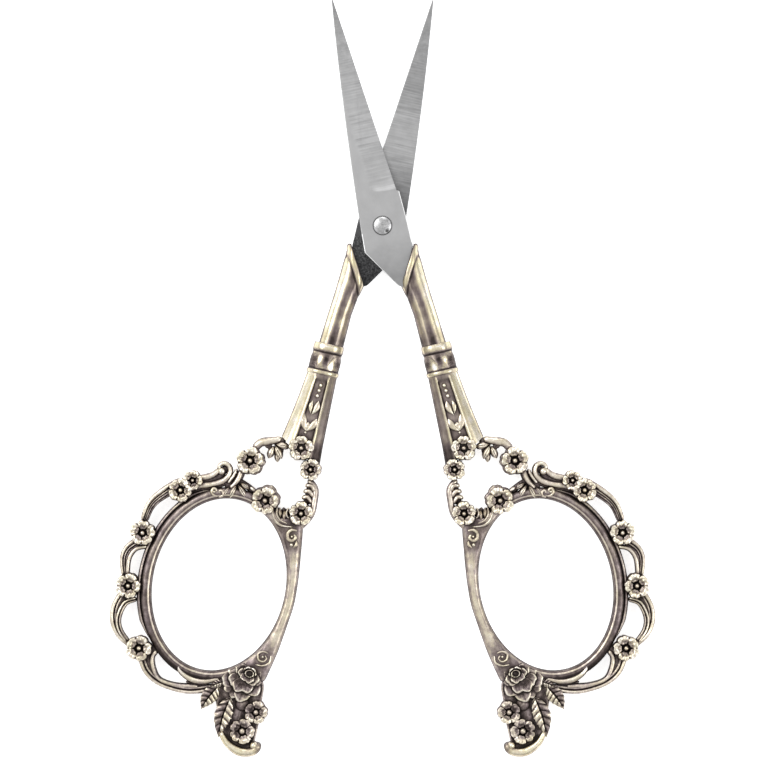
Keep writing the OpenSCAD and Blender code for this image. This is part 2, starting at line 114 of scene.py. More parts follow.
# each leaf: base, tip, width and height
YOKE_LEAVES = [((8.9, -39.6), (8.35, -41.7), 1, 1.3), ((9.3, -38.9), (7.1, -38.7), 1.3, 1.5),
               ((9.4, -39), (7.8, -41), 1.35, 1.58), ((9.5, -39.1), (9.95, -41.4), 1.25, 1.52),
               ((5.2, -51), (5.5, -49.1), 0.8, 1.7), ((5.8, -50.7), (6.4, -48.8), 0.7, 1.7),
               ((13.6, -46.2), (12, -47), 0.95, 1.7), ((13.9, -46.6), (12.1, -48.5), 1.15, 1.74),
               ((14.1, -46.8), (14.75, -49.05), 1.15, 1.78), ((15.1, -47.2), (16, -49.2), 0.8, 1.7)]
BORDER_STRANDS = [
    ([(15.5, -47.8), (15.35, -46.6), (15.4, -45.4)], (1.2, 1.1, 0.9), None),
    ([(16.6, -44.7), (17, -45.9), (18.4, -46.9), (20.5, -47.8)], (1, 1, 0.7), None),
    ([(15.6, -46.6), (17.6, -47.9), (20, -48.8), (22.2, -50.1)], (0.9, 0.8, 0.8), None),
    ([(22.2, -49.7), (20.2, -48.35), (17.8, -47.45), (16.2, -46.4), (15.6, -45), (16, -44), (17, -43.75),
      (17.55, -44.4), (17.2, -45)], (1.1, 1.1, 0.7), ()),
    ([(17.3, -44.8), (18.5, -46.2), (20.9, -47.3)], (0.9, 1.15, 1), ()),
    ([(22.6, -48.2), (25.2, -50.4), (27.1, -52.9), (27.7, -56)], (2.3, 1.8, 1.3), (-0.62, -0.2, 0.15)),
    ([(27.7, -59.2), (29.2, -60.9), (29.5, -62.8), (28.7, -65.4)], (1.7, 1.4, 1.1), (-0.35, 0.15)),
    ([(26.2, -59.8), (27.9, -60.6), (28.7, -62.4), (28.4, -65.2)], (0.8, 0.8, 0.8), ()),
    ([(28.5, -68), (29.25, -70.4), (29, -72.8), (27.6, -74.9), (25.1, -76.3)], (1.1, 1.2, 1.1), (-0.2,)),
    ([(26, -68.6), (27.7, -69.7), (28.3, -72.2), (27.6, -74.2), (25.8, -75.9)], (0.9, 1, 0.9), (-0.1,)),
    ([(27.5, -68.2), (28.6, -70), (28.8, -72)], (1, 0.8, 0.5), None),
    ([(23.4, -77.4), (21.9, -79.7), (19.8, -81), (17, -81.5), (14, -81.3), (10.2, -79.9)],
     (1.3, 1.1, 1.3), (-0.1,)),
    ([(20.9, -76.1), (21.45, -77.4), (20.8, -79.2), (19.4, -80.7), (16.6, -81), (13, -80.4)],
     (0.9, 0.85, 0.9), ()),
    ([(22.5, -76.9), (21.4, -79.1), (20.2, -80.5)], (1.2, 1, 0.6), None),
    ([(21.3, -75.4), (21.9, -76.4), (22.6, -77.4)], (1.5, 1.7, 1.3), None),
    ([(11.5, -79.8), (13.5, -80.1), (15.2, -80.1)], (0.7, 0.8, 0.4), None),
    ([(16.1, -45.2), (16.5, -44.7), (17.1, -44.4)], (1.2, 1.3, 1), None),
]
GOLDEN_STRAND = ([(9.9, -78.3), (11.9, -79.3), (13.8, -79.55), (15.6, -79.1), (16.8, -78.2), (16.9, -77.3)],
                 (0.8, 1.1, 0.7))
STEM_STRAND = ([(3.7, -50.3), (2.65, -55.5), (1.65, -62.7), (2.55, -70.5), (4.3, -77.5)], (3.2, 1.85, 3.3))
CURL_STRAND = ([(7.8, -86.8), (6.4, -88.4), (4.2, -89.32), (2.4, -89.05), (1.5, -88.2), (1.7, -87.3)],
               (0.9, 1.55, 1.4))
# strands that start below this height are duller
LOW_STRANDS = -76
SCROLL_BALL, CURL_BALL = (17, -45.1, 0.65), (2.05, -87.9, 0.7)
# the rim round the outside of the ring: its first and last angle, and its width
RIM_ARC, RIM_W, RIM_ROWS = (-50, 74), 0.7, 60
PLATE_POINTS = [(3.2, -76.6), (2.5, -78.2), (2.35, -80), (2.25, -82), (2, -84.5), (2.3, -88.4),
                (4.2, -89.4), (6.7, -88), (8.3, -85.7), (9.3, -83.2), (10, -80.8), (9.4, -79.2),
                (7, -77.5), (5, -76.6)]
# Raised curls on the ring: width of each stroke and its points, and the beads beside them
CURLS = [
    (0.66, [(2.75, -51.95), (3.65, -52), (4.15, -52.7), (3.9, -53.5), (3.2, -53.7), (2.75, -53.1),
            (3.1, -52.65)]),
    (0.6, [(2.45, -53.6), (2.4, -54.2), (2.75, -54.75)]),
    (0.44, [(3, -72.6), (3.9, -72.5), (4.6, -73.1), (4.3, -73.95), (3.5, -74.1), (3.05, -73.5),
            (3.45, -73.05)]),
    (0.4, [(2.5, -72.9), (2.5, -74), (3.4, -74.75), (4.6, -74.85)]),
    (0.5, [(16.5, -49.3), (15.95, -48.9), (16.05, -48.3), (16.55, -48.25), (16.6, -48.7)]),
    (0.55, [(16.7, -49.2), (17.35, -49.2), (17.85, -48.8), (17.7, -48.2), (17.2, -48.2), (17.15, -48.65)]),
]
CURL_BEADS = [(3.15, -54.4, 0.32), (3.4, -53.05, 0.24), (3.75, -73.35, 0.24), (17.45, -48.65, 0.25)]
# Leaves of the finial: base, tip and width
LEAF_AXES = [((7.45, -80.95), (7.95, -87.9), 2.85), ((9.75, -79.6), (11.75, -84), 2.6),
             ((8.9, -78.6), (11.3, -80.3), 1.3)]
LEAF_RIBS = 6

# Shank sections: distance along Y, then where the inner and the outer edge stand, and the half thickness
SOCKET_SECTIONS = [(-3, 0.7, 4.75, 1.9), (-10.4, 0.85, 5.15, 1.95), (-12.5, 1.35, 5.3, 1.95),
                   (-15.5, 1.8, 5.55, 2), (-20.9, 1.95, 6, 2)]
COLLAR_SECTIONS = [(-20.9, 1.75, 6.75, 2.4), (-26, 1.65, 7.05, 2.4)]
FLUTED_SECTIONS = [(-26, 1.87, 6.8, 2.05), (-30, 1.8, 7.35, 2.05), (-34, 1.72, 8, 2),
                   (-37.5, 1.65, 8.65, 1.9), (-40.5, 1.5, 9.3, 1.8)]
PANEL_DEPTH = 0.3
BEADS = [(4.15, -27.8, 0.42), (4.25, -28.7, 0.42), (4.35, -29.6, 0.42)]
BUD_LEAVES = [((3.95, -30.4), (4.65, -32.8), 1.05), ((4.85, -30.5), (4.75, -32.7), 0.8),
              ((3.6, -33.3), (4.9, -35.6), 1.15), ((5.75, -32.9), (4.95, -35.6), 1.25),
              ((4.8, -34.1), (4.9, -35.6), 1.1)]
# Painted glints and painted dark reflections on the collar's facets: place across, place down, spread, and
# how much each lightens (darkening where below 0)
PAINTED_GLINTS = [(-0.42, 0.78, 0.14, 0.9), (0.36, 0.45, 0.12, 0.95), (0.12, 0.95, 0.2, 0.3),
            (-0.02, 0.4, 0.16, -0.45), (0.72, 0.5, 0.2, -0.5), (-0.85, 0.6, 0.14, -0.35),
            (0.05, 0.75, 0.14, -0.3)]
# Where a blade darkens: from where to where along it, and by how much
FRONT_SHADES = [(-2, -9, 0.13), (18.5, 22, 0.03), (28, 38, 0.1)]
# on the back blade, the darkening from 12 down to 3 along it is painted shadow cast by the front blade's
# edge
BACK_SHADES = [(1, -9, 0.13), (12, 3, 0.25), (18, 21.5, 0.07)]
# The outermost rows of a disc, as shares of its radius
EDGE_ROWS = [0.9, 0.94, 0.97, 0.99, 1]
# Turns a point of the front face into its twin on the back
FLIP = np.array([1, 1, -1])


# ---- Curves and small functions ----


def step(low, high, x):
    t = np.clip((x - low) / (high - low), 0, 1)
    return t * t * (3 - 2 * t)


def bump_at(x, width):
    return np.exp(-((x / width) ** 2))


def dome(u):
    """Height of a half circle over -1 to 1."""
    return np.sqrt(np.clip(1 - u**2, 0, 1))


def angles(n):
    return np.arange(n) * 2 * np.pi / n


def catmull(points):
    """Catmull-Rom curve through the points, with ten steps from each to the next."""
    p = np.array(points, float)
    p = np.vstack([p[:1], p, p[-1:]])
    t = (np.arange(10) / 10)[:, None]
    out = []
    for a, b, c, d in zip(p, p[1:], p[2:], p[3:]):
        square = 2 * a - 5 * b + 4 * c - d
        cube = 3 * b - a - 3 * c + d
        out.append((2 * b + (c - a) * t + square * t**2 + cube * t**3) / 2)
    return np.vstack(out + [p[-1:]])


def resample(curve, spacing):
    """Even points along a curve, the distance to each, and the whole length."""
    run = np.concatenate([[0], np.cumsum(np.linalg.norm(np.diff(curve, axis=0), axis=1))])
    s = np.linspace(0, run[-1], max(8, int(run[-1] / spacing) + 1))
    return np.stack([np.interp(s, run, curve[:, k]) for k in range(curve.shape[1])], 1), s, run[-1]


def normals_of(curve):
    d = np.gradient(curve, axis=0)
    d /= np.linalg.norm(d, axis=1, keepdims=True)
    return np.stack([-d[:, 1], d[:, 0]], 1)


def cavity(z, gain, reach):
    """How far each point of a grid with closed rows stands above its surroundings, as 0 to 1 about 0.5."""
    soft = z.copy()
    for _ in range(reach):
        rows = np.pad(soft, ((1, 1), (0, 0)), "edge")
        soft = (rows[:-2] + rows[1:-1] + rows[2:]) / 3
        cols = np.pad(soft, ((0, 0), (1, 1)), "wrap")
        soft = (cols[:, :-2] + cols[:, 1:-1] + cols[:, 2:]) / 3
    return np.clip(0.5 + gain * (z - soft), 0, 1)


class Form:
    """Grids of points that together make one piece."""

    def __init__(self):
        self.points, self.faces, self.relief, self.count = [], [], [], 0

    def grid(self, xyz, relief, ring_rows=False):
        """A grid of points whose columns close on themselves. Rows close too where ring_rows is set."""
        n, m = xyz.shape[:2]
        i = np.arange(n if ring_rows else n - 1)[:, None]
        j = np.arange(m)[None]
        a, b = i * m + j, i * m + (j + 1) % m
        d, c = ((i + 1) % n) * m + j, ((i + 1) % n) * m + (j + 1) % m
        self.faces += (np.stack([a, d, c, b], -1).reshape(-1, 4) + self.count).tolist()
        self.points.append(xyz.reshape(-1, 3))
        self.relief.append(np.clip(np.broadcast_to(relief, (n, m)), 0, 1).reshape(-1))
        self.count += n * m

    def capped(self, rows, relief):
        """A bar: rows of points about it, drawn together to a point at each end."""
        low, high = (np.broadcast_to(row.mean(0), rows[:1].shape) for row in (rows[0], rows[-1]))
        self.grid(np.concatenate([low, rows, high]), np.concatenate([relief[:1], relief, relief[-1:]]))

    def twin(self, front, relief):
        """A face whose last row meets its twin on the back."""
        self.grid(np.concatenate([front, front[::-1] * FLIP]), np.concatenate([relief, relief[::-1]]))


def to_world(p, side):
    c, s = math.cos(REST), math.sin(REST)
    x, y = p[:, 0] * c - p[:, 1] * s, p[:, 0] * s + p[:, 1] * c
    if side == "left":
        x = -x
    return np.stack([x, y + PIVOT[1], p[:, 2] + PIVOT[2]], 1) * 0.001


def to_half(p, side):
    """The inverse of to_world."""
    x, y, z = (p * 1000 - np.array([0, PIVOT[1], PIVOT[2]])).T
    if side == "left":
        x = -x
    c, s = math.cos(REST), math.sin(REST)
    return np.stack([x * c + y * s, -x * s + y * c, z], 1)


def as_object(form, name, side):
    """An object of a form, with its relief as a point attribute."""
    mesh = bpy.data.meshes.new(name)
    mesh.from_pydata(to_world(np.vstack(form.points), side).tolist(), [], form.faces)
    layer = mesh.attributes.new("relief", "FLOAT", "POINT")
    layer.data.foreach_set("value", np.concatenate(form.relief).astype(np.float32))
    bm = bmesh.new()
    bm.from_mesh(mesh)
    bmesh.ops.remove_doubles(bm, verts=bm.verts, dist=SAME_POINT)
    bmesh.ops.recalc_face_normals(bm, faces=bm.faces)
    bm.to_mesh(mesh)
    bm.free()
    piece = bpy.data.objects.new(name, mesh)
    bpy.context.scene.collection.objects.link(piece)
    return piece


def build(form, name, side, material, nodes, crisp=35, cut=None):
    """Makes one finished piece of a form, on the body of its side."""
    piece = as_object(form, name, side)
    mesh = piece.data
    if cut is not None:
        tool = piece.modifiers.new("cut", "BOOLEAN")
        tool.operation, tool.solver, tool.object = "DIFFERENCE", "EXACT", cut
        mesh = bpy.data.meshes.new_from_object(piece.evaluated_get(bpy.context.evaluated_depsgraph_get()))
        piece.modifiers.clear()
        piece.data = mesh
        bpy.data.objects.remove(cut)
    spots = np.empty(len(mesh.vertices) * 3, np.float32)
    mesh.vertices.foreach_get("co", spots)
    place = mesh.attributes.new("place", "FLOAT_VECTOR", "POINT")
    place.data.foreach_set("vector", to_half(spots.reshape(-1, 3), side).astype(np.float32).reshape(-1))
    mesh.shade_smooth()
    mesh.set_sharp_from_angle(angle=math.radians(crisp))
    mesh.materials.clear()
    mesh.materials.append(material)
    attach(piece, BODY[side])
    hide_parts(*nodes)
    return piece


# ---- Shapes ----

# Where a bar is sampled across its width
ACROSS = np.array([-1, -0.97, -0.88, -0.72, -0.55, -0.44, -0.36, -0.28, -0.14, 0, 0.14, 0.28, 0.36, 0.44,
                   0.55, 0.72, 0.88, 0.97, 1])


def sweep(form, curve, half_w, half_h, profile, across=ACROSS, low=None):
    """A closed bar along a curve. profile gives the height share and the relief at u across and s along.
    With low set, the bar stands on z = low on the front, and its twin stands on the back."""
    side = normals_of(curve)
    u = across[None, :]
    s = np.linspace(0, 1, len(curve))[:, None]
    share, relief = profile(u, s)
    share = np.broadcast_to(share, (len(curve), len(across)))
    relief = np.broadcast_to(relief, share.shape)
    xy = curve[:, None, :] + side[:, None, :] * (half_w[:, None] * u)[..., None]
    top = half_h[:, None] * share
    if low is None:
        loops = [(top, -top)]
    else:
        loops = [(low + top, np.full_like(top, low - 0.1)), (np.full_like(top, 0.1 - low), -low - top)]
    for up, down in loops:
        z = np.concatenate([up, down[:, ::-1]], 1)
        flat = np.concatenate([xy, xy[:, ::-1]], 1)
        tone_and_light = np.concatenate([relief, relief[:, ::-1]], 1)
        form.capped(np.concatenate([flat, z[..., None]], 2), tone_and_light)


def round_ends(s, length, width):
    """The share of a strand's width that is left near its rounded ends."""
    t = np.clip(np.minimum(s, length - s) / (width * 0.5), 0, 1)
    return np.clip(dome(1 - t), 0.35, 1)


def width_at(widths, t):
    return np.interp(t, [0, 0.5, 1], widths)


def ridges(cuts, tone=0.0):
    """Cross-section of a strand made of round ridges with grooves at cuts, and where to sample it."""
    bounds = np.array([-1, *cuts, 1])

    def profile(u, s):
        cell = np.clip(np.searchsorted(bounds, u, side="right") - 1, 0, len(bounds) - 2)
        t = np.clip((u - bounds[cell]) / (bounds[cell + 1] - bounds[cell]), 0, 1)
        crown = dome(2 * t - 1)
        level = 1 - 0.12 * (len(bounds) - 2 - cell)
        worn = 0.06 + tone + (0.72 * level**1.7) * crown + 0.14 * crown - 0.12 * step(-1, 1, -u)
        return 0.5 + (level - 0.5) * (0.2 + 0.8 * crown), worn + 0.05 * np.sin(17 * s + 3 * u)

    sample = [a + (b - a) * (1 - np.cos(np.pi * np.arange(8) / 8)) / 2 for a, b in zip(bounds, bounds[1:])]
    return profile, np.append(np.concatenate(sample), 1.0)


def sunk(u, s):
    """The dark metal between two strands."""
    return 0.55 + 0.2 * dome(u), 0.06 + 0.22 * dome(u) + 0 * s


def curl_rub(u, s):
    return 0.25 + 0.75 * dome(u), 0.14 + 0.62 * dome(u) + 0 * s


def petal_rub(u, s):
    worn = 0.2 + 0.7 * dome(u) + 0.12 * step(0.3, 1, s) - 0.15 * bump_at(u, 0.14)
    return 0.25 + 0.75 * dome(u), worn


def strand(form, points, widths, high, profile, across=ACROSS, spacing=0.25, arch=0.12):
    curve, s, length = resample(catmull(points), spacing)
    w = width_at(widths, s / length)
    ends = round_ends(s, length, w)
    swell = 1 - arch + arch * np.sin(np.pi * s / length)
    sweep(form, curve, w / 2 * ends, high * swell * (0.55 + 0.45 * ends), profile, across)


def scrolls(form, strands, grow=0.12):
    """The strands of an openwork zone, each with its own ridges, or sunk where it has none."""
    for k, (points, widths, cuts) in enumerate(strands):
        wide = np.array(widths) + grow
        if cuts is None:
            strand(form, points, widths, SCROLL_H, sunk, arch=0)
        else:
            shape = ridges(cuts, -0.1 * (points[0][1] < LOW_STRANDS))
            strand(form, points, wide, SCROLL_H + 0.04 * (k % 4), *shape, arch=0.06 + 0.04 * (k % 3))


def lobed(a, reach, lobe):
    """Radius of a ring of round petals, at angle a from the nearest petal's axis."""
    return reach * np.cos(a) + np.sqrt(np.clip(lobe**2 - (reach * np.sin(a)) ** 2, 0, None))


def disc(form, x, y, size, edge, theta, share, z, relief):
    """A cast disc with the same relief on both faces. Rows run out from the middle."""
    r = share[:, None] * edge[None] * size
    front = np.stack([x + r * np.cos(theta), y + r * np.sin(theta), z], -1)
    outwards = (front[-1:] - front[-2:-1]) * np.array([0.15, 0.15, 0])
    middle = front[-1:] * np.array([1, 1, 0]) + outwards
    side = np.full((1, len(theta)), 0.3)
    form.grid(np.concatenate([front, middle, front[::-1] * FLIP]),
              np.concatenate([relief, side, relief[::-1]]))


def blossom(form, x, y, size, turn, base, top, floor, worn, pit, eye):
    """A plum blossom: petals with thick rolled rims round a dark star-shaped pit with a bead in it."""
    theta = angles(18 * PETALS)
    pitch = 2 * np.pi / PETALS
    place = (theta - turn - np.pi / 2 + pitch / 2) / pitch
    a = (place % 1 - 0.5) * pitch
    seam = pitch / 2 - np.abs(a)
    uneven = np.sin(2.3 * np.floor(place % PETALS) + 5 * x)
    share = np.concatenate([np.linspace(0, 0.2, 6), np.linspace(0.24, 0.86, 17), EDGE_ROWS])
    edge = lobed(a, 1 - PETAL_R, PETAL_R) * (1.02 - 0.07 * bump_at(a + 0.08 * uneven, 0.1))
    edge = edge + 0.02 * uneven + 0.012 * np.sin(11 * theta + 3 * x)
    t = share[:, None] + 0 * a
    r = share[:, None] * edge[None]
    notch = bump_at(seam, 0.06) * step(0.66, 0.86, r)
    line = bump_at(seam, 0.04) * step(pit, pit + 0.12, r)
    star = pit + 0.16 * bump_at(seam, 0.13) + 0.03 * uneven
    cup = step(star - 0.1, star + 0.1, r)
    wave = 0.05 * np.sin(a * 9 + uneven * 3)
    rim = step(0.46, 0.74 + wave, t)
    crinkle = np.sin(a * 12 + 4 * uneven + 6 * t) * step(0.35, 0.6, t)
    h = cup * (0.68 + 0.28 * rim - 0.35 * step(0.93, 1, t) - 0.25 * notch - 0.12 * line + 0.04 * crinkle)
    h += (1 - cup) * 0.06
    inside = r < eye
    bead_h = dome(r / eye)
    h = np.where(inside, 0.4 + 0.42 * bead_h, h)
    tone_and_light = 0.62 + 0.36 * rim + 0.06 * uneven - 0.5 * step(0.95, 1, t) - 0.42 * notch - 0.26 * line
    # on the finial's blossoms, worn darkens the petals towards the upper right and lightens them towards
    # the lower left
    tone_and_light = tone_and_light - 0.12 * crinkle * (1 - rim) - 0.1 * np.abs(crinkle) + worn * np.cos(theta - 0.7)
    tone_and_light = np.where(inside, 0.34 + 0.4 * bead_h, worn + cup * tone_and_light)
    disc(form, x, y, size, edge, theta, share, floor + (top - floor) * np.clip(h, 0, 1), tone_and_light)
    # the grey foot of the petals shows beyond their rims
    foot = edge * (0.97 + 0.03 * np.sin(theta + 2 * x)) + 0.05
    out = np.array([0.0, 0.5, 0.93, 1.0])
    low = np.array([0.9, 0.9, 0.86, 0.7])[:, None] * floor + 0 * theta
    tone = np.array([0.3, 0.3, 0.46, 0.26])[:, None] + 0 * theta
    disc(form, x + base[0], y + base[1], size, foot, theta, out, low, tone)


# Petals of the rose from its rim to its bud: where each stands, its radius and its height
ROSE_BUD = (-0.24, 0.44)
ROSE_PETALS = [(0.42, 0.4, 0.4, 0.2), (-0.55, 0.3, 0.42, 0.24), (0.6, -0.05, 0.4, 0.3),
               (-0.52, -0.22, 0.44, 0.28), (0.36, -0.5, 0.45, 0.32), (-0.12, -0.56, 0.44, 0.36),
               (0.16, 0.52, 0.32, 0.4), (-0.46, 0.2, 0.33, 0.46), (0.32, 0.02, 0.36, 0.5),
               (-0.24, -0.18, 0.36, 0.54), (0.1, -0.2, 0.36, 0.58), (0.06, 0.4, 0.24, 0.64),
               (-0.3, 0.2, 0.25, 0.7), (-0.06, 0.24, 0.22, 0.72), (-0.34, 0.48, 0.24, 0.74),
               (-0.16, 0.52, 0.22, 0.78)]


def rose():
    """A rose: rings of cupped petals with rolled rims, opening downwards from a bud."""
    form = Form()
    x, y = ROSE_AT
    theta = angles(132)
    pitch = 2 * np.pi / 5
    a = (theta - math.radians(54) + pitch / 2) % pitch - pitch / 2
    edge = lobed(a, 0.5, 0.5)
    # the rose keeps clear of the finger hole
    reach = np.linspace(0.3, 1, 71)[:, None] * edge[None]
    spot = np.stack([x + ROSE_R * reach * np.cos(theta), y + ROSE_R * reach * np.sin(theta)], -1) - HOLE_C
    free = ((spot / [HOLE_A + ROSE_GAP, HOLE_B + ROSE_GAP]) ** 2).sum(2) > 1
    edge = edge * (0.3 + 0.7 * (np.cumprod(free, axis=0).sum(0) - 1) / 70)
    share = np.concatenate([np.linspace(0, 0.95, 44), [0.97, 0.985, 1]])
    r = share[:, None] * edge[None]
    px, py = r * np.cos(theta), r * np.sin(theta)
    h = np.full(r.shape, 0.12)
    tone_and_light = np.full(r.shape, 0.06)
    for k, (cx, cy, lobe, base) in enumerate(ROSE_PETALS):
        gx, gy = cx - ROSE_BUD[0], cy - ROSE_BUD[1]
        gx, gy = gx / math.hypot(gx, gy), gy / math.hypot(gx, gy)
        across = ((px - cx) * gy - (py - cy) * gx) / lobe
        out = ((px - cx) * gx + (py - cy) * gy) / lobe + 0.08 * np.sin(5 * across + k)
        d = np.hypot(out, across)
        petal = base + 0.14 * step(-0.7, 0.85, out) - 0.2 * step(0.84, 1, d) - 0.03 * bump_at(across, 0.14)
        shade = 0.12 + 0.42 * step(-0.3, 0.7, out) + 0.4 * bump_at(d - 0.8, 0.12) * step(-0.2, 0.3, out)
        shade -= 0.5 * step(0.89, 0.98, d) + 0.1 * bump_at(across, 0.1) - 0.05 * np.sin(31 * across)
        over = (d < 1) & (petal > h)
        h, tone_and_light = np.where(over, petal, h), np.where(over, shade, tone_and_light)
    heart = np.hypot(px - ROSE_BUD[0], 1.2 * (py - ROSE_BUD[1]))
    around = np.cos(np.arctan2(py - ROSE_BUD[1], px - ROSE_BUD[0]) - 4.2)
    lip = bump_at(heart - 0.19 - 0.03 * around, 0.05)
    bud = heart < 0.28
    h = np.where(bud, 0.6 + 0.36 * lip * (0.8 + 0.2 * around), h)
    tone_and_light = np.where(bud, 0.8 * lip * (0.75 + 0.25 * around) + 0.25 * step(0.22, 0.27, heart), tone_and_light)
    tone_and_light = 0.88 * tone_and_light + 0.95 * (cavity(h, 6, 3) - 0.47)
    disc(form, x, y, ROSE_R, edge, theta, share, 1.1 + (RELIEF_H - 1.1) * np.clip(h, 0, 1), tone_and_light)
    return form


def leaf(form, p, q, width):
    """A pointed leaf from p to q, with a sunk midrib and plump slanting ribs. Its right half is painted
    darker, as if in shadow.
    """
    p, q = np.array(p, float), np.array(q, float)
    n = max(12, int(np.linalg.norm(q - p) / 0.1))
    t = np.linspace(0.01, 0.99, n)
    bend = np.array([-(q - p)[1], (q - p)[0]]) * 0.05
    curve = p + (q - p) * t[:, None] + bend * np.sin(np.pi * t)[:, None]
    teeth = 1 + 0.06 * (2 * ((t * LEAF_RIBS) % 1) - 1)
    half_w = width / 2 * np.sin(np.pi * t**0.8) * teeth

    def profile(u, s):
        pad = dome((LEAF_RIBS * (s - 0.11 * np.abs(u) ** 1.4)) % 1 * 2 - 1)
        middle = bump_at(u, 0.09)
        rim = np.abs(u) ** 6
        # painted shadow over the right half
        shaded_half = step(-0.1, 0.2, u)
        tone_and_light = 0.2 - 0.12 * shaded_half + pad**0.5 * (0.66 - (0.56 - 0.5 * np.abs(u)) * shaded_half)
        tone_and_light = tone_and_light - 0.6 * middle - 0.1 * rim + 0.2 * step(0.82, 1, s)
        return 0.66 + 0.17 * pad + 0.15 * (1 - u**2) - 0.16 * middle, tone_and_light

    outer = np.linspace(0.2, 1, 10)
    across = np.concatenate([-outer[::-1], [-0.12, -0.06, 0, 0.06, 0.12], outer])
    sweep(form, curve, half_w, LEAF_H * (0.8 + 0.2 * np.sin(np.pi * t)), profile, across)


def small_leaf(form, p, q, width, high):
    """A plump leaf with a creased middle."""
    t = np.linspace(0.01, 0.99, 18)
    curve = np.array(p) + (np.array(q) - np.array(p)) * t[:, None]

    def profile(u, s):
        crease = bump_at(u, 0.12)
        worn = 0.06 + 0.9 * dome(u) - 0.2 * crease - 0.3 * (1 - step(0, 0.3, s))
        return 0.5 + 0.5 * dome(u) - 0.08 * crease, worn

    half_w = width / 2 * np.sin(np.pi * t**1.25) ** 0.75
    sweep(form, curve, half_w, high * (0.8 + 0.2 * np.sin(np.pi * t)), profile, np.linspace(-1, 1, 17))


def octagon(n):
    """A softly rounded octagon, as n points about its outline."""
    top = np.array([(1, 0.45), (0.5, 1), (-0.5, 1), (-1, 0.45)])
    p = np.concatenate([top, -top])
    for _ in range(2):
        nxt = np.roll(p, -1, 0)
        p = np.stack([0.82 * p + 0.18 * nxt, 0.18 * p + 0.82 * nxt], 1).reshape(-1, 2)
    closed = np.vstack([p, p[:1]])
    even, _, _ = resample(closed, 0.001)
    keep = np.linspace(0, len(even) - 1, n + 1)[:-1].astype(int)
    return even[keep]


def loft(sections, rows, outline, shape):
    """A shank through its sections, sampled at rows. shape(x, cx, cz, y) says how far the points of a row
    move outwards and up, and gives their relief."""
    table = np.array(sections, float)[::-1]
    grid, tone_and_light = [], []
    for y in rows:
        y = np.broadcast_to(y, len(outline))
        inner, outer, thick = (np.interp(y, table[:, 0], table[:, k]) for k in (1, 2, 3))
        cx, cz = outline[:, 0], outline[:, 1]
        grow, lift, relief = shape((inner + outer) / 2 + cx * (outer - inner) / 2, cx, cz, y)
        x = (inner + outer) / 2 + cx * ((outer - inner) / 2 + grow)
        z = cz * (thick + grow) + np.sign(cz) * lift
        grid.append(np.stack([x, y, z], 1))
        tone_and_light.append(relief + 0 * x)
    form = Form()
    form.capped(np.array(grid), np.array(tone_and_light))
    return form


def tone_across(outline, stops):
    """Relief of a shank's front and back by the share across it, darker on its sides; its stops paint the
    highlights on the facets.
    """
    at, tone = np.array(stops).T
    return np.interp(outline[:, 0], at, tone) - 0.12 * (np.abs(outline[:, 1]) < 0.42)


def socket_shank():
    """The upper shank: a mitred end with a round lip, in front of the blade."""
    outline = octagon(96)
    # painted highlights: a broad one on the outer facets and a thin line on the inner side
    tone_and_light = tone_across(outline, [(-1, 0.05), (-0.93, 0.34), (-0.8, 0.66), (-0.5, 0.62), (-0.4, 0.8),
                                (-0.3, 0.54), (0, 0.36), (0.14, 0.44), (0.32, 0.8), (0.6, 0.96), (0.84, 1),
                                (0.94, 0.45), (1, 0.05)])
    slope = (MITRE_TOP[1] - MITRE_LOW[1]) / (MITRE_TOP[0] - MITRE_LOW[0])
    slant = 1 / math.hypot(1, slope)
    table = np.array(SOCKET_SECTIONS)[::-1]
    # the height of the mitre depends on the shank's width there, so it's found in a few rounds
    top = np.full(len(outline), -7.0)
    for _ in range(6):
        inner, outer = (np.interp(top, table[:, 0], table[:, k]) for k in (1, 2))
        x = (inner + outer) / 2 + outline[:, 0] * (outer - inner) / 2
        top = np.minimum(MITRE_LOW[1] + slope * (x - MITRE_LOW[0]), -4.05)
    share = np.concatenate([np.linspace(0, 0.72, 24), np.linspace(0.735, 1, 40)])
    foot = SOCKET_SECTIONS[-1][0]
    rows = [foot + (top - foot) * t for t in share]

    def shape(x, cx, cz, y):
        d = (top - y) * slant
        slim = 0.46 * (1 - 0.5 * step(0.7, 1, cx))
        lip = dome((d - slim) / slim)
        shadow = bump_at(d - 1.02, 0.16) + 0.5 * bump_at(d - 1.5, 0.5) * step(0.5, -0.5, cx)
        outline_dark = bump_at(d, 0.09)
        low = 0.3 * step(-17.5, -20.8, y)
        # a painted highlight along the crown of the round lip, between dark outlines
        rod = 0.36 + 0.4 * lip - 0.8 * outline_dark - 0.5 * step(0.86, 1, cx) - 0.5 * step(-0.86, -1, cx)
        swell = (0.17 + 0.06 * step(1, 0.4, cx)) * (1 - 0.85 * step(-0.7, -1, cx))
        return swell * lip - 0.05 * shadow, 0, np.where(d < 2 * slim, rod, tone_and_light - 0.5 * shadow - low)

    return loft(SOCKET_SECTIONS, rows, outline, shape)


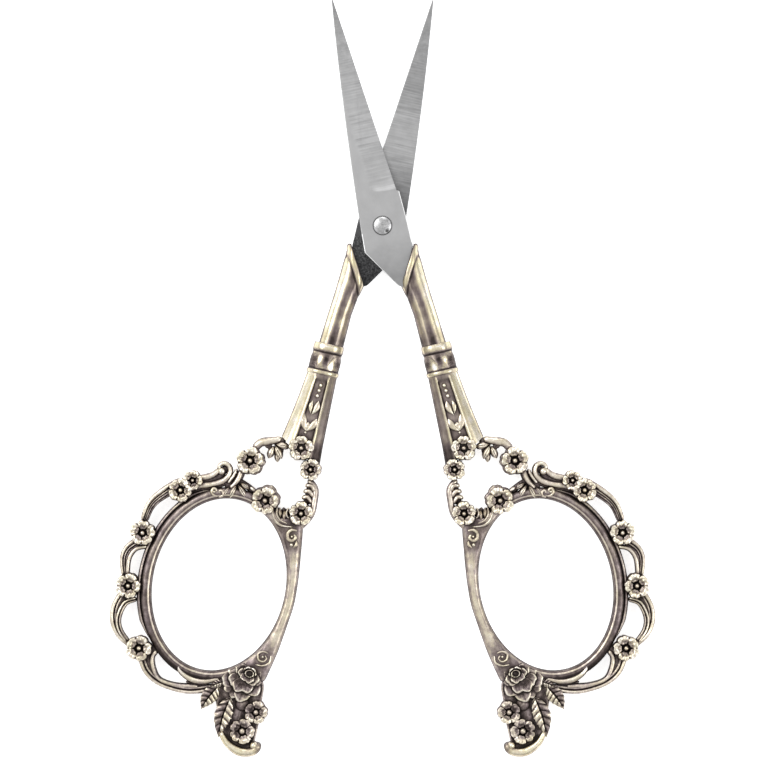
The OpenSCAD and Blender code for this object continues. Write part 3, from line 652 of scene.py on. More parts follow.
def collar():
    """A band with a broad rim above, a row of cut facets, and a thin rim below."""
    outline = octagon(96)
    high = COLLAR_SECTIONS[0][0]
    down = [0, 0.04, 0.1, 0.2, 0.4, 0.65, 0.9, 1.1, 1.25, 1.4, 1.52, 1.66, 1.95, 2.25, 2.55, 2.85, 3.15,
            3.45, 3.7, 3.88, 4.02, 4.16, 4.3, 4.42, 4.52, 4.66, 4.8, 4.92, 5.02, 5.08, 5.1]
    rows = [high - d for d in down][::-1]
    # painted light and shade of the cut facets: each facet gets its own brightness, the way cut facets
    # catch the light differently
    facet_light = [0.3, 1.0, -0.4, 0.4, 1, -0.6]

    def shape(x, cx, cz, y):
        d = float(high - y[0])
        upper, lower = dome((d - 0.7) / 0.72), dome((d - 4.76) / 0.35)
        edge_line = bump_at(d - 1.48, 0.08) + bump_at(d - 4.3, 0.12)
        v = np.clip((d - 1.6) / 2.5, 0, 1)
        place = 1.35 * cx + 0.25 * np.sign(cz) + 4
        tooth = np.abs(2 * (place % 1) - 1)
        cell = (2 * np.floor(place) + (v > tooth)).astype(int) % 6
        cut = np.array([0.1, -0.03, 0.05, 0.11, -0.05, 0.07])[cell] * math.sin(math.pi * v)
        grow = -0.16 + 0.15 * max(upper, lower) + cut * (0 < v < 1)
        facets = 0.42 + 0.16 * np.array(facet_light)[cell] + 0.1 * (1 - v)
        # painted glints and painted dark reflections on the facets
        for at, level, wide, size in PAINTED_GLINTS:
            facets = facets + size * bump_at(cx - at, wide) * bump_at(v - level, 1.6 * wide)
        tone_and_light = np.where((d > 1.5) & (d < 4.25), facets, 0.3 + 0.46 * max(upper, lower) + 0 * x)
        if d < 1.5:
            tone_and_light = tone_and_light + 0.14 * bump_at(d - 0.35, 0.3) - 0.3 * step(0.8, 1.5, d)
        side = 0.35 * step(0.86, 1, np.abs(cx))
        return grow, 0, tone_and_light - 0.7 * edge_line - side

    return loft(COLLAR_SECTIONS, rows, outline, shape)


def fluted_shank():
    """The lower shank: a sunk panel between two bright ridges, and a sloping lower end."""
    outline = octagon(120)
    # the bright stops on the outer side paint the highlight of the outer facets
    tone_and_light = tone_across(outline, [(-1, 0.04), (-0.92, 0.4), (-0.8, 0.58), (-0.66, 0.52), (-0.2, 0.45),
                                (0.3, 0.5), (0.42, 0.52), (0.52, 0.6), (0.64, 1), (0.88, 1), (0.96, 0.5),
                                (1, 0.06)])
    low_end = np.interp(5.26 + 3.7 * outline[:, 0], [1.5, 5, 9.3], [-40.6, -39.4, -37.2])

    def shape(x, cx, cz, y):
        mid = np.interp(-y, [26.8, 37.6], [4.22, 4.88])
        half = np.interp(-y, [26.8, 37.6], [1.0, 1.42])
        p = (x - mid) / half
        along = step(26.5, 27.2, -y)
        flat = step(0.75, 0.95, np.abs(cz))
        panel = (1 - step(0.8, 1, np.abs(p))) * along * flat
        # the ridges also get a painted highlight
        ridge = (bump_at(p - 1.17, 0.2) + bump_at(p + 1.16, 0.17)) * step(26.1, 26.6, -y) * flat
        corner = 0.4 * bump_at(np.abs(p) - 0.92, 0.1) * along * flat
        # darker towards the lower end on its inner part
        darker_towards_foot = 0.3 * step(-36.2, -38.6, y) * (cx < 0.3)
        worn = tone_and_light * (1 - panel) + 0.46 * panel + 0.42 * ridge - corner - darker_towards_foot
        return 0, 0.13 * ridge - PANEL_DEPTH * panel, worn

    head = FLUTED_SECTIONS[0][0]
    rows = [head + (low_end - head) * t for t in np.linspace(0, 1, 60)]
    return loft(FLUTED_SECTIONS, rows, outline, shape)


def bead(form, x, y, r, low, high):
    """A round bead on the front, and its twin on the back."""
    t = np.linspace(0, np.pi / 2, 7)
    theta = angles(18)
    rr = (r * np.sin(t))[:, None]
    z = (low + (high - low) * np.cos(t))[:, None] + 0 * theta
    cap = np.stack([x + rr * np.cos(theta), y + rr * np.sin(theta), z], -1)
    foot = np.array([x, y, low - 0.15])
    base = np.broadcast_to(foot, cap[:1].shape)
    wall = cap[-1:] * np.array([1, 1, 0]) + foot * np.array([0, 0, 1])
    relief = np.concatenate([0.55 + 0.4 * np.cos(t), [0.2, 0.2]])[:, None]
    for flip in (1, FLIP):
        form.grid(np.concatenate([cap, wall, base]) * flip, relief + 0 * theta)


def bud_drop():
    form = Form()
    floor = FLUTED_SECTIONS[0][3] - PANEL_DEPTH
    for x, y, r in BEADS:
        bead(form, x, y, 0.9 * r, floor - 0.05, floor + 0.36)
    bead(form, 4.95, -35.9, 0.24, floor - 0.05, floor + 0.25)
    t = np.linspace(0.02, 0.98, 14)
    for p, q, w in BUD_LEAVES:
        way = 0.1 if p[0] > q[0] else -0.1 if p[0] < q[0] - 0.5 else 0
        bow = np.array([p[1] - q[1], q[0] - p[0]]) * way
        curve = np.linspace(p, q, len(t)) + bow * np.sin(np.pi * t)[:, None]
        half_w = w / 2 * np.sin(np.pi * t**0.8)
        sweep(form, curve, half_w, 0.36 * np.sin(np.pi * t) ** 0.4, petal_rub, low=floor - 0.04)
    return form


def finger_ring():
    """The bow: a round band about the finger hole, which spreads into the stem on its left."""
    form = Form()
    theta = angles(200)
    inner = HOLE_C + np.stack([HOLE_A * np.cos(theta), HOLE_B * np.sin(theta)], 1)
    out = np.stack([np.cos(theta) / HOLE_A, np.sin(theta) / HOLE_B], 1)
    out /= np.linalg.norm(out, axis=1, keepdims=True)
    stem, s, length = resample(catmull(STEM_STRAND[0]), 0.1)
    stem_w = width_at(STEM_STRAND[1], s / length) / 2
    reach = np.linspace(0, 6.5, 131)
    points = inner[:, None] + out[:, None] * reach[None, :, None]
    gap = np.linalg.norm(points[:, :, None] - stem[None, None, ::4], axis=3) - stem_w[None, None, ::4]
    covered = (gap.min(2) < 0) | (reach[None] <= BAND_W)
    width = np.array([reach[np.argmin(c) - 1 if not c.all() else -1] for c in covered])
    width = np.maximum(width, BAND_W)
    for _ in range(3):
        width = (np.roll(width, 1) + 2 * width + np.roll(width, -1)) / 4
    width = width[:, None]
    wide = step(0.4, 1.4, width - BAND_W)
    half = np.array([0, 0.015, 0.04, 0.075, 0.12, 0.18, 0.25, 0.33, 0.42])
    u = np.concatenate([half, [0.5, 0.58, 0.66, 0.74, 0.81, 0.87, 0.92, 0.96, 0.985, 1]])[None]
    d = u * width
    near = np.minimum(d, width - d)
    plain = 0.4 * BAND_H
    crown = np.clip(1 - (1 - np.clip(near / (0.4 * width), 0, 1)) ** 2.2, 0, 1) ** 0.5
    z = plain + (BAND_H - plain) * crown
    lace = step(-0.5, 0.15, np.cos(theta) + 0.25 * np.abs(np.sin(theta)))[:, None]
    below = np.clip(-2.5 * np.sin(theta) - 1.5, 0, 1)[:, None]
    upper = np.clip(np.sin(theta)[:, None] + 0.35, 0, 1)
    # painted highlight: on the lace side a bright line runs along the inner part of the band; further out
    # the band is lighter on its upper part and darker on the outer part of its lower part
    on_lace = 0.37 + 0.54 * bump_at(d - 0.56, 0.12) - 0.2 * bump_at(d - 0.34, 0.07)
    on_lace += 0.16 * bump_at(d - 1.2, 0.22) * upper - 0.16 * bump_at(d - 0.78, 0.08)
    on_lace -= 0.3 * step(1.62, 1.8, d) + 0.5 * below * step(1.0, 1.2, d)
    # painted highlight down the middle of the band where it spreads into the stem
    on_stem = 0.6 + 0.26 * bump_at(u - 0.5, 0.22) - 0.2 * step(0.26, 0.06, u) - 0.22 * step(0.8, 1, u)
    field = 0.38 + 0.26 * bump_at(near - 0.4, 0.2) - 0.1 * step(1.2, 2, near)
    groove = 0.24 * bump_at(d - 0.62, 0.1) - 0.1 * bump_at(d - 0.32, 0.12)
    tone_and_light = lace * on_lace + (1 - lace) * ((1 - wide) * on_stem + wide * field - groove)
    tone_and_light = tone_and_light - 0.6 * (1 - step(0, 0.17, near))
    xy = inner[:, None] + out[:, None] * d[..., None]
    front = np.concatenate([xy, z[..., None]], 2)
    both = np.concatenate([front, front[:, ::-1] * FLIP], 1)
    form.grid(both, np.concatenate([tone_and_light, tone_and_light[:, ::-1]], 1), ring_rows=True)
    return form


def curlicues():
    form = Form()
    for width, points in CURLS:
        curve, s, length = resample(catmull(points), 0.1)
        swell = np.sin(np.pi * s / length)
        w = width / 2 * (0.75 + 0.35 * swell)
        sweep(form, curve, w * round_ends(s, length, 2 * w), 0.35 + 0.15 * swell, curl_rub,
              np.linspace(-1, 1, 9), low=BAND_H - 0.28)
    for x, y, r in CURL_BEADS:
        bead(form, x, y, r, BAND_H - 0.1, BAND_H + 0.22)
    return form


def ball(form, x, y, r, high, tone_and_light=0.5):
    """A round-topped ball through the whole thickness."""
    t = np.linspace(0, np.pi / 2, 9)[:, None]
    theta = angles(28)
    cap = np.stack([x + r * np.sin(t) * np.cos(theta), y + r * np.sin(t) * np.sin(theta),
                    high * (0.6 + 0.4 * np.cos(t)) + 0 * theta], -1)
    form.twin(cap, tone_and_light + 0.45 * np.cos(t) - 0.3 * (np.sin(t) > 0.97) + 0 * theta)


def yoke_scrolls():
    form = Form()
    scrolls(form, YOKE_STRANDS)
    # loops that curl over the ring where its stem widens
    for points, widths in YOKE_LOOPS:
        strand(form, points, widths, BAND_H + 0.2, *ridges((), 0.1), arch=0.04)
    for p, q, w, high in YOKE_LEAVES:
        small_leaf(form, p, q, w, high)
    return form


def border_scrolls():
    form = Form()
    scrolls(form, BORDER_STRANDS, 0)
    profile, across = ridges((), -0.12)

    def golden(u, s):
        height, worn = profile(u, s)
        return height, worn + 0.24 * step(0.3, 0.6, s)

    strand(form, *GOLDEN_STRAND, BAND_H + 0.16, golden, across)
    ball(form, *SCROLL_BALL, SCROLL_H + 0.2)
    t = np.radians(np.linspace(*RIM_ARC, RIM_ROWS))
    row = np.arange(RIM_ROWS)
    taper = np.clip(np.minimum(row, row[::-1]) / 9, 0.12, 1)
    grow = BAND_W - 0.25 + (RIM_W / 2 + 0.17) * taper
    arc = HOLE_C + np.stack([(HOLE_A + grow) * np.cos(t), (HOLE_B + grow) * np.sin(t)], 1)

    def rim(u, s):
        return 0.4 + 0.6 * dome(u), 0.06 + 0.52 * dome(u) + 0.1 * np.sin(19 * s)

    sweep(form, arc, RIM_W / 2 * taper, 0.9 + 0.3 * taper, rim, np.linspace(-1, 1, 11))
    return form


def finial():
    form = Form()
    outline, _, _ = resample(catmull(PLATE_POINTS + [PLATE_POINTS[0]]), 0.2)
    outline = outline[:-1]
    centre = outline.mean(0)
    share = np.concatenate([np.linspace(0, 0.85, 12), EDGE_ROWS])[:, None]
    xy = centre + (outline - centre)[None] * share[..., None]
    h = PLATE_H * (0.86 + 0.14 * bump_at(share - 0.93, 0.05) - 0.3 * step(0.96, 1, share))
    ripple = 0.05 * np.sin(xy[..., 0] * 2.6 + 1.3 * np.sin(xy[..., 1] * 1.9)) * (1 - share**4)
    tone_and_light = 0.43 + 2.4 * ripple + 0.16 * bump_at(share - 0.95, 0.04)
    form.twin(np.concatenate([xy, (h + ripple)[..., None]], 2), tone_and_light)
    profile, across = ridges((), 0.1)

    def hook(u, s):
        height, worn = profile(u, s)
        return height, worn - 0.42 * step(0.74, 0.95, s)

    strand(form, *CURL_STRAND, 1.8, hook, across, spacing=0.18, arch=0.05)
    ball(form, *CURL_BALL, 1.88)
    ball(form, *BRACT, 1.4, 0.06)
    return form


def leaves():
    form = Form()
    for p, q, w in LEAF_AXES:
        leaf(form, p, q, w)
    return form


def blossoms(flowers, top=RELIEF_H, floor=1.25, worn=0.0, pit=0.29, eye=0.2):
    form = Form()
    for k, (x, y, r) in enumerate(flowers):
        turn = math.radians(9) * math.sin(4 * k + x)
        # the base of the two large blossoms leans towards the middle of the yoke
        aim = np.array(YOKE_MID) - [x, y]
        base = 0.3 * aim / np.linalg.norm(aim) * (r > LARGE_FLOWER)
        blossom(form, x, y, r, turn, base, top, floor, worn, pit, eye)
    return form


def finial_blossoms():
    """The two blossoms of the finial, lower and darker than the others."""
    return blossoms(FINIAL_FLOWERS, 2.0, 1.0, -0.16, 0.28, 0.25)


def blade(flip):
    """A blade: flat inside, ground outside. flip turns it over for the back blade. Its relief is 0 where
    it's smooth, 0.5 where it's cross-ground, more where the grinding runs out (a painted highlight), and 1
    along the bevelled edges (a painted highlight line)."""
    form = Form()
    spans = [(-11.2, -3.7, 22), (-3.7, 4.9, 26), (4.9, 5.1, 3), (5.1, 9, 34), (9, BLADE_LEN, 88)]
    ys = np.unique(np.concatenate([np.linspace(*span) for span in spans]))
    u_spine = np.clip(ys / BLADE_LEN, 0, 1)
    spine = -SPINE_W * (1 - 0.63 * u_spine - 0.343 * u_spine**2)
    tang = np.interp(ys, [-11.2, -10.3, -10.1, -3.7, 0], [1.5, 0.85, 0.3, -SPINE_W - 0.2, -SPINE_W])
    left = np.where(ys < 0, tang, spine)
    right = np.interp(ys, [-11.2, -10.3, -4.3, 0, 4.98, 5.1, BLADE_LEN],
                      [2.2, 1.6, 4.15, HEEL_W + 0.6, HEEL_W + 0.4, HEEL_W, 0.12])
    u = np.concatenate([[0, 0.016, 0.018, 0.03], np.linspace(0.06, 0.94, 34), [0.97, 0.982, 0.984, 1]])
    x = left[:, None] + (right - left)[:, None] * u
    y = np.repeat(ys[:, None], len(u), 1)
    line = -1.6 + (y - GRIND_Y) * math.tan(math.radians(1.5))
    start = GRIND_Y - 0.35 + 0.05 * (2.2 - x) ** 2
    ground = step(0, 9, y - start)
    drop = np.clip(x - line, 0, None) * 0.75 / (HEEL_W + 0.8)
    taper = np.clip(y - GRIND_Y, 0, None) * 0.6 / (BLADE_LEN - GRIND_Y)
    top = BLADE_T - np.maximum(drop * ground, taper)
    near = np.minimum(x - left[:, None], right[:, None] - x)
    ricasso = (y < 5.05) & ((x > 0) | (y < 0.5))
    chamfer = np.where(ricasso, 0.03, 0.02) * (1 - step(0, 0.12, near))
    top = np.maximum(top - chamfer, 0.04)
    lift = BLADE_GAP / 2
    front = np.stack([x, y, lift + top], -1)
    back = np.stack([x, y, lift + 0.02 * (1 - step(0, 0.1, near))], -1)[:, ::-1]
    body = np.concatenate([front, back], 1) * (FLIP if flip else 1)
    land = np.interp(y, [5, 7, 12, 17, 24, BLADE_LEN], [-0.5, -0.7, -1.0, -1.5, -1.8, -0.6])
    marks_and_edge_highlight = 0.5 * step(0, 0.5, y - start) * step(-0.25, 0.25, x - land)
    # a painted highlight where the grinding runs out
    runout_highlight = 0.34 * bump_at(y - start - 0.6, 0.5) * step(0, 1.1, x - land)
    # a painted highlight line along the bevelled edges of the ricasso and the tang
    bevelled = ((x > 1) & (y < 5) & (y > -3.9)) | ((x < 1.5) & (y < -0.3) & (y > -10.2))
    edge_highlight = (near < 0.132) & bevelled
    marks_and_edge_highlight = np.where(edge_highlight, 1.0, marks_and_edge_highlight)
    runout_highlight = np.where(edge_highlight, 0.0, runout_highlight)
    flat_marks = 0.5 * step(4.4, 5.6, y)[:, ::-1]
    tone_and_light = np.concatenate([marks_and_edge_highlight + runout_highlight, flat_marks], 1)
    form.capped(body, tone_and_light)
    return form


def lathe(profile, dent=None):
    """A turned solid about the pivot, from (radius, z, relief) points."""
    theta = angles(72)
    r, z, relief = (np.array(c, float)[:, None] for c in zip(*profile))
    xyz = np.stack([r * np.cos(theta), r * np.sin(theta), z + 0 * theta], -1)
    if dent is not None:
        depth, shade = dent(xyz[..., 0], xyz[..., 1], xyz[..., 2])
        xyz[..., 2] -= depth
        relief = relief - shade
    form = Form()
    form.grid(xyz, relief)
    return form


def bore(seat=None):
    """The tool that cuts the rivet's hole through a blade, wider above the height seat where it's given."""
    far = 3
    top = [(0, far, 0), (BORE_R, far, 0)]
    if seat is not None:
        top = [(0, far, 0), (SEAT_R + 0.04, far, 0), (SEAT_R, seat, 0), (BORE_R, seat, 0)]
    return as_object(lathe(top + [(BORE_R, -far, 0), (0, -far, 0)]), "bore", "right")


# ---- Materials ----


class Nodes:
    """Shorthand for wiring the nodes of a material or a world."""

    def __init__(self, owner):
        owner.use_nodes = True
        self.owner, self.tree = owner, owner.node_tree

    def add(self, kind, inputs=None, **settings):
        node = self.tree.nodes.new(kind)
        for key, value in settings.items():
            setattr(node, key, value)
        for key, value in (inputs or {}).items():
            self.set(node.inputs[key], value)
        return node

    def set(self, socket, value):
        if isinstance(value, bpy.types.NodeSocket):
            self.tree.links.new(value, socket)
        else:
            socket.default_value = value

    def math(self, operation, values, clamp=False):
        """The values joined by one operation after another. clamp keeps the last result within 0 to 1."""
        value, *rest = values
        for k, other in enumerate(rest, 1):
            inputs = {0: value, 1: other}
            last = k == len(rest)
            node = self.add("ShaderNodeMath", inputs, operation=operation, use_clamp=clamp and last)
            value = node.outputs[0]
        return value

    def total(self, *values, clamp=False):
        return self.math("ADD", values, clamp)

    def times(self, *values):
        return self.math("MULTIPLY", values)

    def tint(self, colour, by):
        return self.add("ShaderNodeVectorMath", {0: colour, 1: by}, operation="MULTIPLY").outputs[0]

    def spread(self, value, low, high, to_low=0.0, to_high=1.0):
        inputs = {"Value": value, "From Min": low, "From Max": high, "To Min": to_low, "To Max": to_high}
        return self.add("ShaderNodeMapRange", inputs).outputs[0]

    def vary(self, noise, low, high):
        """The usual range of a noise, spread from low to high."""
        return self.spread(noise, 0.3, 0.7, low, high)

    def ramp(self, value, stops):
        node = self.add("ShaderNodeValToRGB", {0: value})
        band = node.color_ramp
        while len(band.elements) < len(stops):
            band.elements.new(1)
        for element, (at, colour) in zip(band.elements, stops):
            element.position, element.color = at, (*colour, 1)
        return node.outputs[0]

    def noise(self, vector, scale, detail, rough, stretch=(1, 1, 1), turn=0.0):
        inputs = {"Vector": vector, "Scale": stretch, "Rotation": (0, 0, turn)}
        mapped = self.add("ShaderNodeMapping", inputs).outputs[0]
        inputs = {"Vector": mapped, "Scale": scale, "Detail": detail, "Roughness": rough}
        return self.add("ShaderNodeTexNoise", inputs).outputs[0]

    def place(self):
        return self.add("ShaderNodeAttribute", attribute_name="place").outputs["Vector"]

    def relief(self):
        return self.add("ShaderNodeAttribute", attribute_name="relief").outputs["Fac"]

    def length_of(self, place):
        """The distance along the half, out of a place."""
        return self.add("ShaderNodeSeparateXYZ", {0: place}).outputs["Y"]

    def bump(self, height, distance, strength, under=None):
        inputs = {"Height": height, "Distance": distance, "Strength": strength}
        if under is not None:
            inputs["Normal"] = under
        return self.add("ShaderNodeBump", inputs).outputs[0]

    def finish(self, **sockets):
        for key, value in sockets.items():
            self.set(self.tree.nodes["Principled BSDF"].inputs[key.replace("_", " ")], value)
        return self.owner


def bronze(name, bias, peak, brush=(1, 1, 1), grain=1.0, pale=1.0):
    """Antique bronze: black in the hollows, mauve-brown on the flats, rubbed to pale gold on high edges.
    The relief attribute adds painted highlights and painted shade on top.
    pale above 1 takes the yellow out of the gold."""
    n = Nodes(bpy.data.materials.new(name))
    place, relief = n.place(), n.relief()
    edge = n.spread(n.add("ShaderNodeNewGeometry").outputs["Pointiness"], 0.44, 0.56, -1, 1)
    shade = n.add("ShaderNodeAmbientOcclusion", {"Distance": 0.0008}, samples=6).outputs["AO"]
    blotch = n.noise(place, 0.55, 5, 0.6)
    fine = n.noise(place, 5, 4, 0.6)
    streak = n.noise(place, 2.2, 2 + 2 * grain, 0.6, brush)
    streaks = 0.04 + 0.06 * grain
    # the tone sums the relief, with its painted highlights and shade, the rubbed high edges, noise and the
    # dark patina of the hollows
    wear_and_light = n.total(n.times(relief, 0.86), n.times(edge, 0.14), n.vary(blotch, -0.09, 0.12),
                   n.vary(streak, -streaks, streaks), n.vary(fine, -0.05 * grain, 0.05 * grain),
                   n.spread(shade, 0.3, 0.95, -0.32, 0.04), bias, clamp=True)
    colour = n.ramp(wear_and_light, [(0.0, (0.013, 0.008, 0.006)), (0.2, (0.048, 0.035, 0.033)),
                           (0.4, (0.17, 0.139, 0.134)), (0.58, (0.38, 0.33, 0.29 * pale**0.5)),
                           (0.74, (0.67, 0.605, 0.43 * pale)), (0.88, (0.82, 0.765, 0.57 * pale)),
                           (1.0, peak)])
    drift = n.ramp(n.noise(place, 0.45, 2, 0.5), [(0.36, (1.0, 0.975, 0.9)), (0.64, (1.0, 0.965, 0.99))])
    # the curl at the end of the handle is yellower
    golden = n.ramp(n.spread(n.length_of(place), -86.8, -87.8), [(0.0, (1, 1, 1)), (1.0, (1, 0.99, 0.87))])
    rough = n.vary(fine, -0.05 * grain, 0.06 * grain)
    rough = n.total(n.spread(wear_and_light, 0.1, 0.9, 0.5, 0.27), rough, clamp=True)
    skin = n.bump(n.noise(place, 9, 5, 0.65), 0.00002, 0.45 * grain)
    normal = n.bump(n.noise(place, 1.6, 0.5 + 2.5 * grain, 0.5), 0.00008, 0.2 + 0.3 * grain, skin)
    return n.finish(Base_Color=n.tint(n.tint(colour, drift), golden), Roughness=rough, Normal=normal,
                    Metallic=n.spread(wear_and_light, 0.05, 0.5, 0.55, 1.0))


def blade_steel(name, level, shades, dark_tang=False):
    """Satin steel, cross-ground from spine to edge above the heel, smooth below it."""
    n = Nodes(bpy.data.materials.new(name))
    place, relief = n.place(), n.relief()
    y = n.length_of(place)
    ground = n.spread(relief, 0, 0.5)
    # relief from 0.5 to 0.84 brings the painted highlight of the grind's run-out, and relief near 1 the
    # painted highlight line along bevelled edges
    runout_highlight = n.spread(relief, 0.5, 0.84)
    line = n.spread(relief, 0.88, 1)
    patches = n.spread(n.noise(place, 0.35, 2, 0.5, (0.6, 1, 1)), 0.42, 0.6, 0.35, 1.0)
    coarse = n.noise(place, 1.0, 2, 0.5, (0.16, 1.0, 0.2), 0.02)
    lines = n.noise(place, 1.0, 1.5, 0.45, (0.13, 3.9, 0.2), -0.03)
    hairs = n.noise(place, 3.0, 3, 0.7, (0.1, 3.2, 0.1), 0.04)
    mottle = n.noise(place, 0.5, 4, 0.6)
    mark = n.total(n.spread(coarse, 0.36, 0.64, -0.14, 0.14), n.spread(lines, 0.4, 0.6, -0.7, 0.7),
                   n.vary(hairs, -0.35, 0.35))
    mark = n.times(mark, patches, ground, n.spread(y, 24, 31, 1, 0.3))
    tip_speck = n.times(n.spread(y, 24, 29), n.vary(n.noise(place, 1.6, 4, 0.7), -0.04, 0.04))
    tones = [n.times(mark, 0.055), n.vary(mottle, 0.47 + level, 0.52 + level), tip_speck,
             n.times(runout_highlight, 0.14), n.times(ground, -0.03), n.times(line, 0.5)]
    tones += [n.spread(y, near, far, 0, -dark) for near, far, dark in shades]
    if dark_tang:
        speck = n.spread(n.noise(place, 2.8, 5, 0.75), 0.4, 0.72, -0.095, 0.165)
        tones.append(n.times(n.spread(y, -2.3, -2.7), speck))
    colour = n.ramp(n.total(*tones, clamp=True),
                    [(0.0, (0.012, 0.012, 0.013)), (0.18, (0.08, 0.08, 0.082)), (0.5, (0.46, 0.46, 0.462)),
                     (0.75, (0.72, 0.72, 0.722)), (1.0, (0.9, 0.9, 0.9))])
    rough = n.total(n.times(mark, 0.06), n.spread(ground, 0, 1, 0.34, 0.4), clamp=True)
    normal = n.bump(n.times(n.total(lines, coarse), ground), 0.00001, 0.6)
    normal = n.bump(n.noise(place, 14, 3, 0.6), 0.000004, 0.4, normal)
    return n.finish(Base_Color=colour, Metallic=1.0, Roughness=rough, Normal=normal)


def rivet_steel(name):
    """Brushed steel, blotched and a little worn."""
    n = Nodes(bpy.data.materials.new(name))
    place = n.place()
    brush = n.noise(place, 3.5, 4, 0.7, (0.5, 2.4, 1), 0.6)
    blotch = n.noise(place, 1.4, 4, 0.6)
    tone = n.total(n.times(n.relief(), 0.8), n.vary(brush, -0.14, 0.14), n.vary(blotch, -0.12, 0.12),
                   clamp=True)
    colour = n.ramp(tone, [(0.0, (0.03, 0.028, 0.026)), (0.4, (0.35, 0.35, 0.35)),
                           (0.8, (0.78, 0.78, 0.785)), (1.0, (0.92, 0.92, 0.92))])
    return n.finish(Base_Color=colour, Metallic=1.0, Roughness=n.vary(brush, 0.24, 0.42),
                    Normal=n.bump(brush, 0.00003, 0.6))


STEEL = blade_steel("cross_ground_steel", 0.015, FRONT_SHADES)
BACK_STEEL = blade_steel("cross_ground_steel_back", -0.01, BACK_SHADES, dark_tang=True)
RIVET = rivet_steel("worn_rivet_steel")
SHANK = bronze("bronze_shank_patina", 0.03, (1.0, 0.95, 0.83), (1.6, 0.25, 1), 0.06)
RING = bronze("bronze_ring_patina", 0.015, (0.98, 0.95, 0.86), (0.8, 0.5, 1), 0.8, 1.15)
SCROLL = bronze("bronze_scroll_patina", -0.02, (0.98, 0.95, 0.84), grain=0.7, pale=1.14)
RAISED = bronze("bronze_relief_patina", 0.015, (0.98, 0.95, 0.83), pale=1.1)
# its near-white peak colours the painted glints of the collar
RIMS = bronze("bronze_collar_patina", 0.06, (1.0, 0.98, 0.95), (0.5, 1.5, 1))

# ---- Pieces ----

HANDLE = {
    "socket_shank": (socket_shank, SHANK, "bronze_shank", 40),
    "collar": (collar, RIMS, "bronze_collar", 18),
    "fluted_shank": (fluted_shank, SHANK, "bronze_shank", 40),
    "bud_drop": (bud_drop, RAISED, "bronze_relief", 50),
    "yoke_scrolls": (yoke_scrolls, SCROLL, "bronze_scroll", 50),
    "yoke_blossoms": (lambda: blossoms(YOKE_FLOWERS), RAISED, "bronze_relief", 60),
    "finger_ring": (finger_ring, RING, "bronze_ring", 50),
    "curlicues": (curlicues, RAISED, "bronze_relief", 50),
    "border_scrolls": (border_scrolls, SCROLL, "bronze_scroll", 50),
    "border_blossoms": (lambda: blossoms(BORDER_FLOWERS), RAISED, "bronze_relief", 60),
    "finial": (finial, SCROLL, "bronze_scroll", 45),
    "rose": (rose, RAISED, "bronze_relief", 45),
    "leaves": (leaves, RAISED, "bronze_relief", 50),
    "finial_blossoms": (finial_blossoms, SCROLL, "bronze_relief", 60),
}
for part, (maker, finish, finish_slot, crisp) in HANDLE.items():
    form = maker()
    for side in ("right", "left"):
        build(form, f"{side}_{part}_cast", side, finish, [f"{side}_{part}"], crisp)

build(blade(False), "front_blade_ground", "right", STEEL, ["front_blade"], 25,
      cut=bore(FACE_Z - SEAT_DEPTH))
build(blade(True), "back_blade_ground", "left", BACK_STEEL, ["back_blade"], 25, cut=bore())


def ding(x, y, z):
    """Small nick at the head's rim."""
    near = bump_at(np.hypot(x - 0.5, y + 1.12), 0.34) * (z > FACE_Z - 0.08)
    return 0.12 * near, 0.6 * near


# the head's relief paints a highlight ring just inside its rim and darkens its edge
head = [(HEAD_R * math.sin(t), FACE_Z - 0.1 + (HEAD_RISE + 0.1) * math.cos(t) ** 0.9,
         0.62 + 0.22 * bump_at(math.sin(t) - 0.86, 0.1) - 0.6 * step(0.93, 1, math.sin(t)))
        for t in np.linspace(0, math.pi / 2, 16)]
shaft = [(HEAD_R, FACE_Z - 0.4, 0.1), (RIVET_R, FACE_Z - 0.42, 0.1), (RIVET_R, -FACE_Z - 0.3, 0.3)]
tail = [(HEAD_R - 0.1, -FACE_Z - 0.31, 0.4), (HEAD_R, -FACE_Z - 0.38, 0.7),
        (HEAD_R - 0.03, -FACE_Z - 0.5, 0.8), (HEAD_R * 0.8, -FACE_Z - 0.57, 0.8),
        (HEAD_R * 0.3, -FACE_Z - 0.54, 0.6), (0, -FACE_Z - 0.52, 0.5)]
rivet = lathe(head + shaft + tail, ding)
build(rivet, "pivot_rivet_domed", "right", RIVET, ["pivot_rivet"], 40)
wash_low, wash_top = -FACE_Z - 0.26, -FACE_Z - 0.03
washer = lathe([(WASHER_BORE, wash_top, 0.6), (WASHER_R - 0.06, wash_top, 0.6),
                (WASHER_R, wash_top - 0.05, 0.8), (WASHER_R, wash_low + 0.05, 0.8),
                (WASHER_R - 0.06, wash_low, 0.8), (1.6, wash_low + 0.01, 0.6),
                (WASHER_BORE, wash_low, 0.5), (WASHER_BORE, wash_top, 0.5)])
build(washer, "rivet_washer_turned", "right", RIVET, ["rivet_washer"], 30)

# ---- Floor, light and camera ----

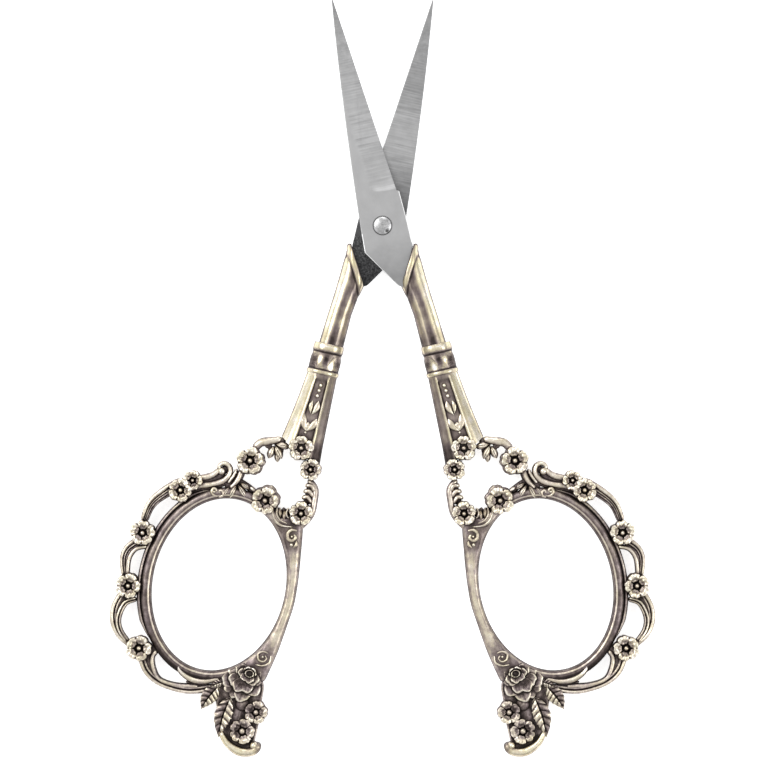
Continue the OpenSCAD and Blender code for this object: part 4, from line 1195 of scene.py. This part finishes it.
# half the side of the floor, and how far it lies below the object, in metres
FLOOR_HALF, FLOOR_DROP = 2, 4e-5
corners = [(FLOOR_HALF * x, FLOOR_HALF * y, -FLOOR_DROP) for x, y in ((-1, -1), (1, -1), (1, 1), (-1, 1))]
floor_mesh = bpy.data.meshes.new("floor")
floor_mesh.from_pydata(corners, [], [(0, 1, 2, 3)])
floor = bpy.data.objects.new("floor", floor_mesh)
bpy.context.scene.collection.objects.link(floor)
white = Nodes(bpy.data.materials.new("floor_white"))
floor_mesh.materials.append(white.finish(Base_Color=(0.93, 0.93, 0.93, 1), Roughness=0.9,
                                         Emission_Strength=0.7, Emission_Color=(1, 1, 1, 1)))

world = bpy.data.worlds.new("studio")
bpy.context.scene.world = world
sky = Nodes(world)
around = sky.add("ShaderNodeTexCoord").outputs["Generated"]
towards = sky.add("ShaderNodeVectorMath", {0: around, 1: (-0.38, 0.42, 0.82)}, operation="DOT_PRODUCT")
glow = sky.ramp(towards.outputs["Value"], [(0.0, (0.56, 0.56, 0.57)), (0.82, (1.0, 1.0, 1.0))])
background = sky.tree.nodes["Background"]
sky.set(background.inputs["Color"], glow)
sky.set(background.inputs["Strength"], 0.85)


def softbox(name, place, size, power):
    light = bpy.data.lights.new(name, "AREA")
    light.shape, light.size, light.energy = "SQUARE", size, power
    lamp = bpy.data.objects.new(name, light)
    lamp.location = place
    lamp.rotation_euler = (-Vector(place)).to_track_quat("-Z", "Y").to_euler()
    bpy.context.scene.collection.objects.link(lamp)


softbox("key", (-0.4, 0.25, 0.6), 0.4, 1.8)
softbox("fill", (0.45, -0.1, 0.5), 0.4, 1.1)
softbox("rear", (0.05, 0.6, 0.45), 0.3, 0.6)

# the picture's width at the pivot's height, its middle, and the camera's height, in metres
VIEW_W, VIEW_AT, DISTANCE = 0.1252, (-0.00025, -0.0004), 1.0
camera = bpy.data.cameras.new("camera")
camera.sensor_width = 36
camera.lens = camera.sensor_width * (DISTANCE - PIVOT[2] * 0.001) / VIEW_W
camera.clip_start, camera.clip_end = 0.01, 10
eye = bpy.data.objects.new("camera", camera)
eye.location = (*VIEW_AT, DISTANCE)
bpy.context.scene.collection.objects.link(eye)
bpy.context.scene.camera = eye
bpy.context.scene.view_settings.view_transform = "Standard"
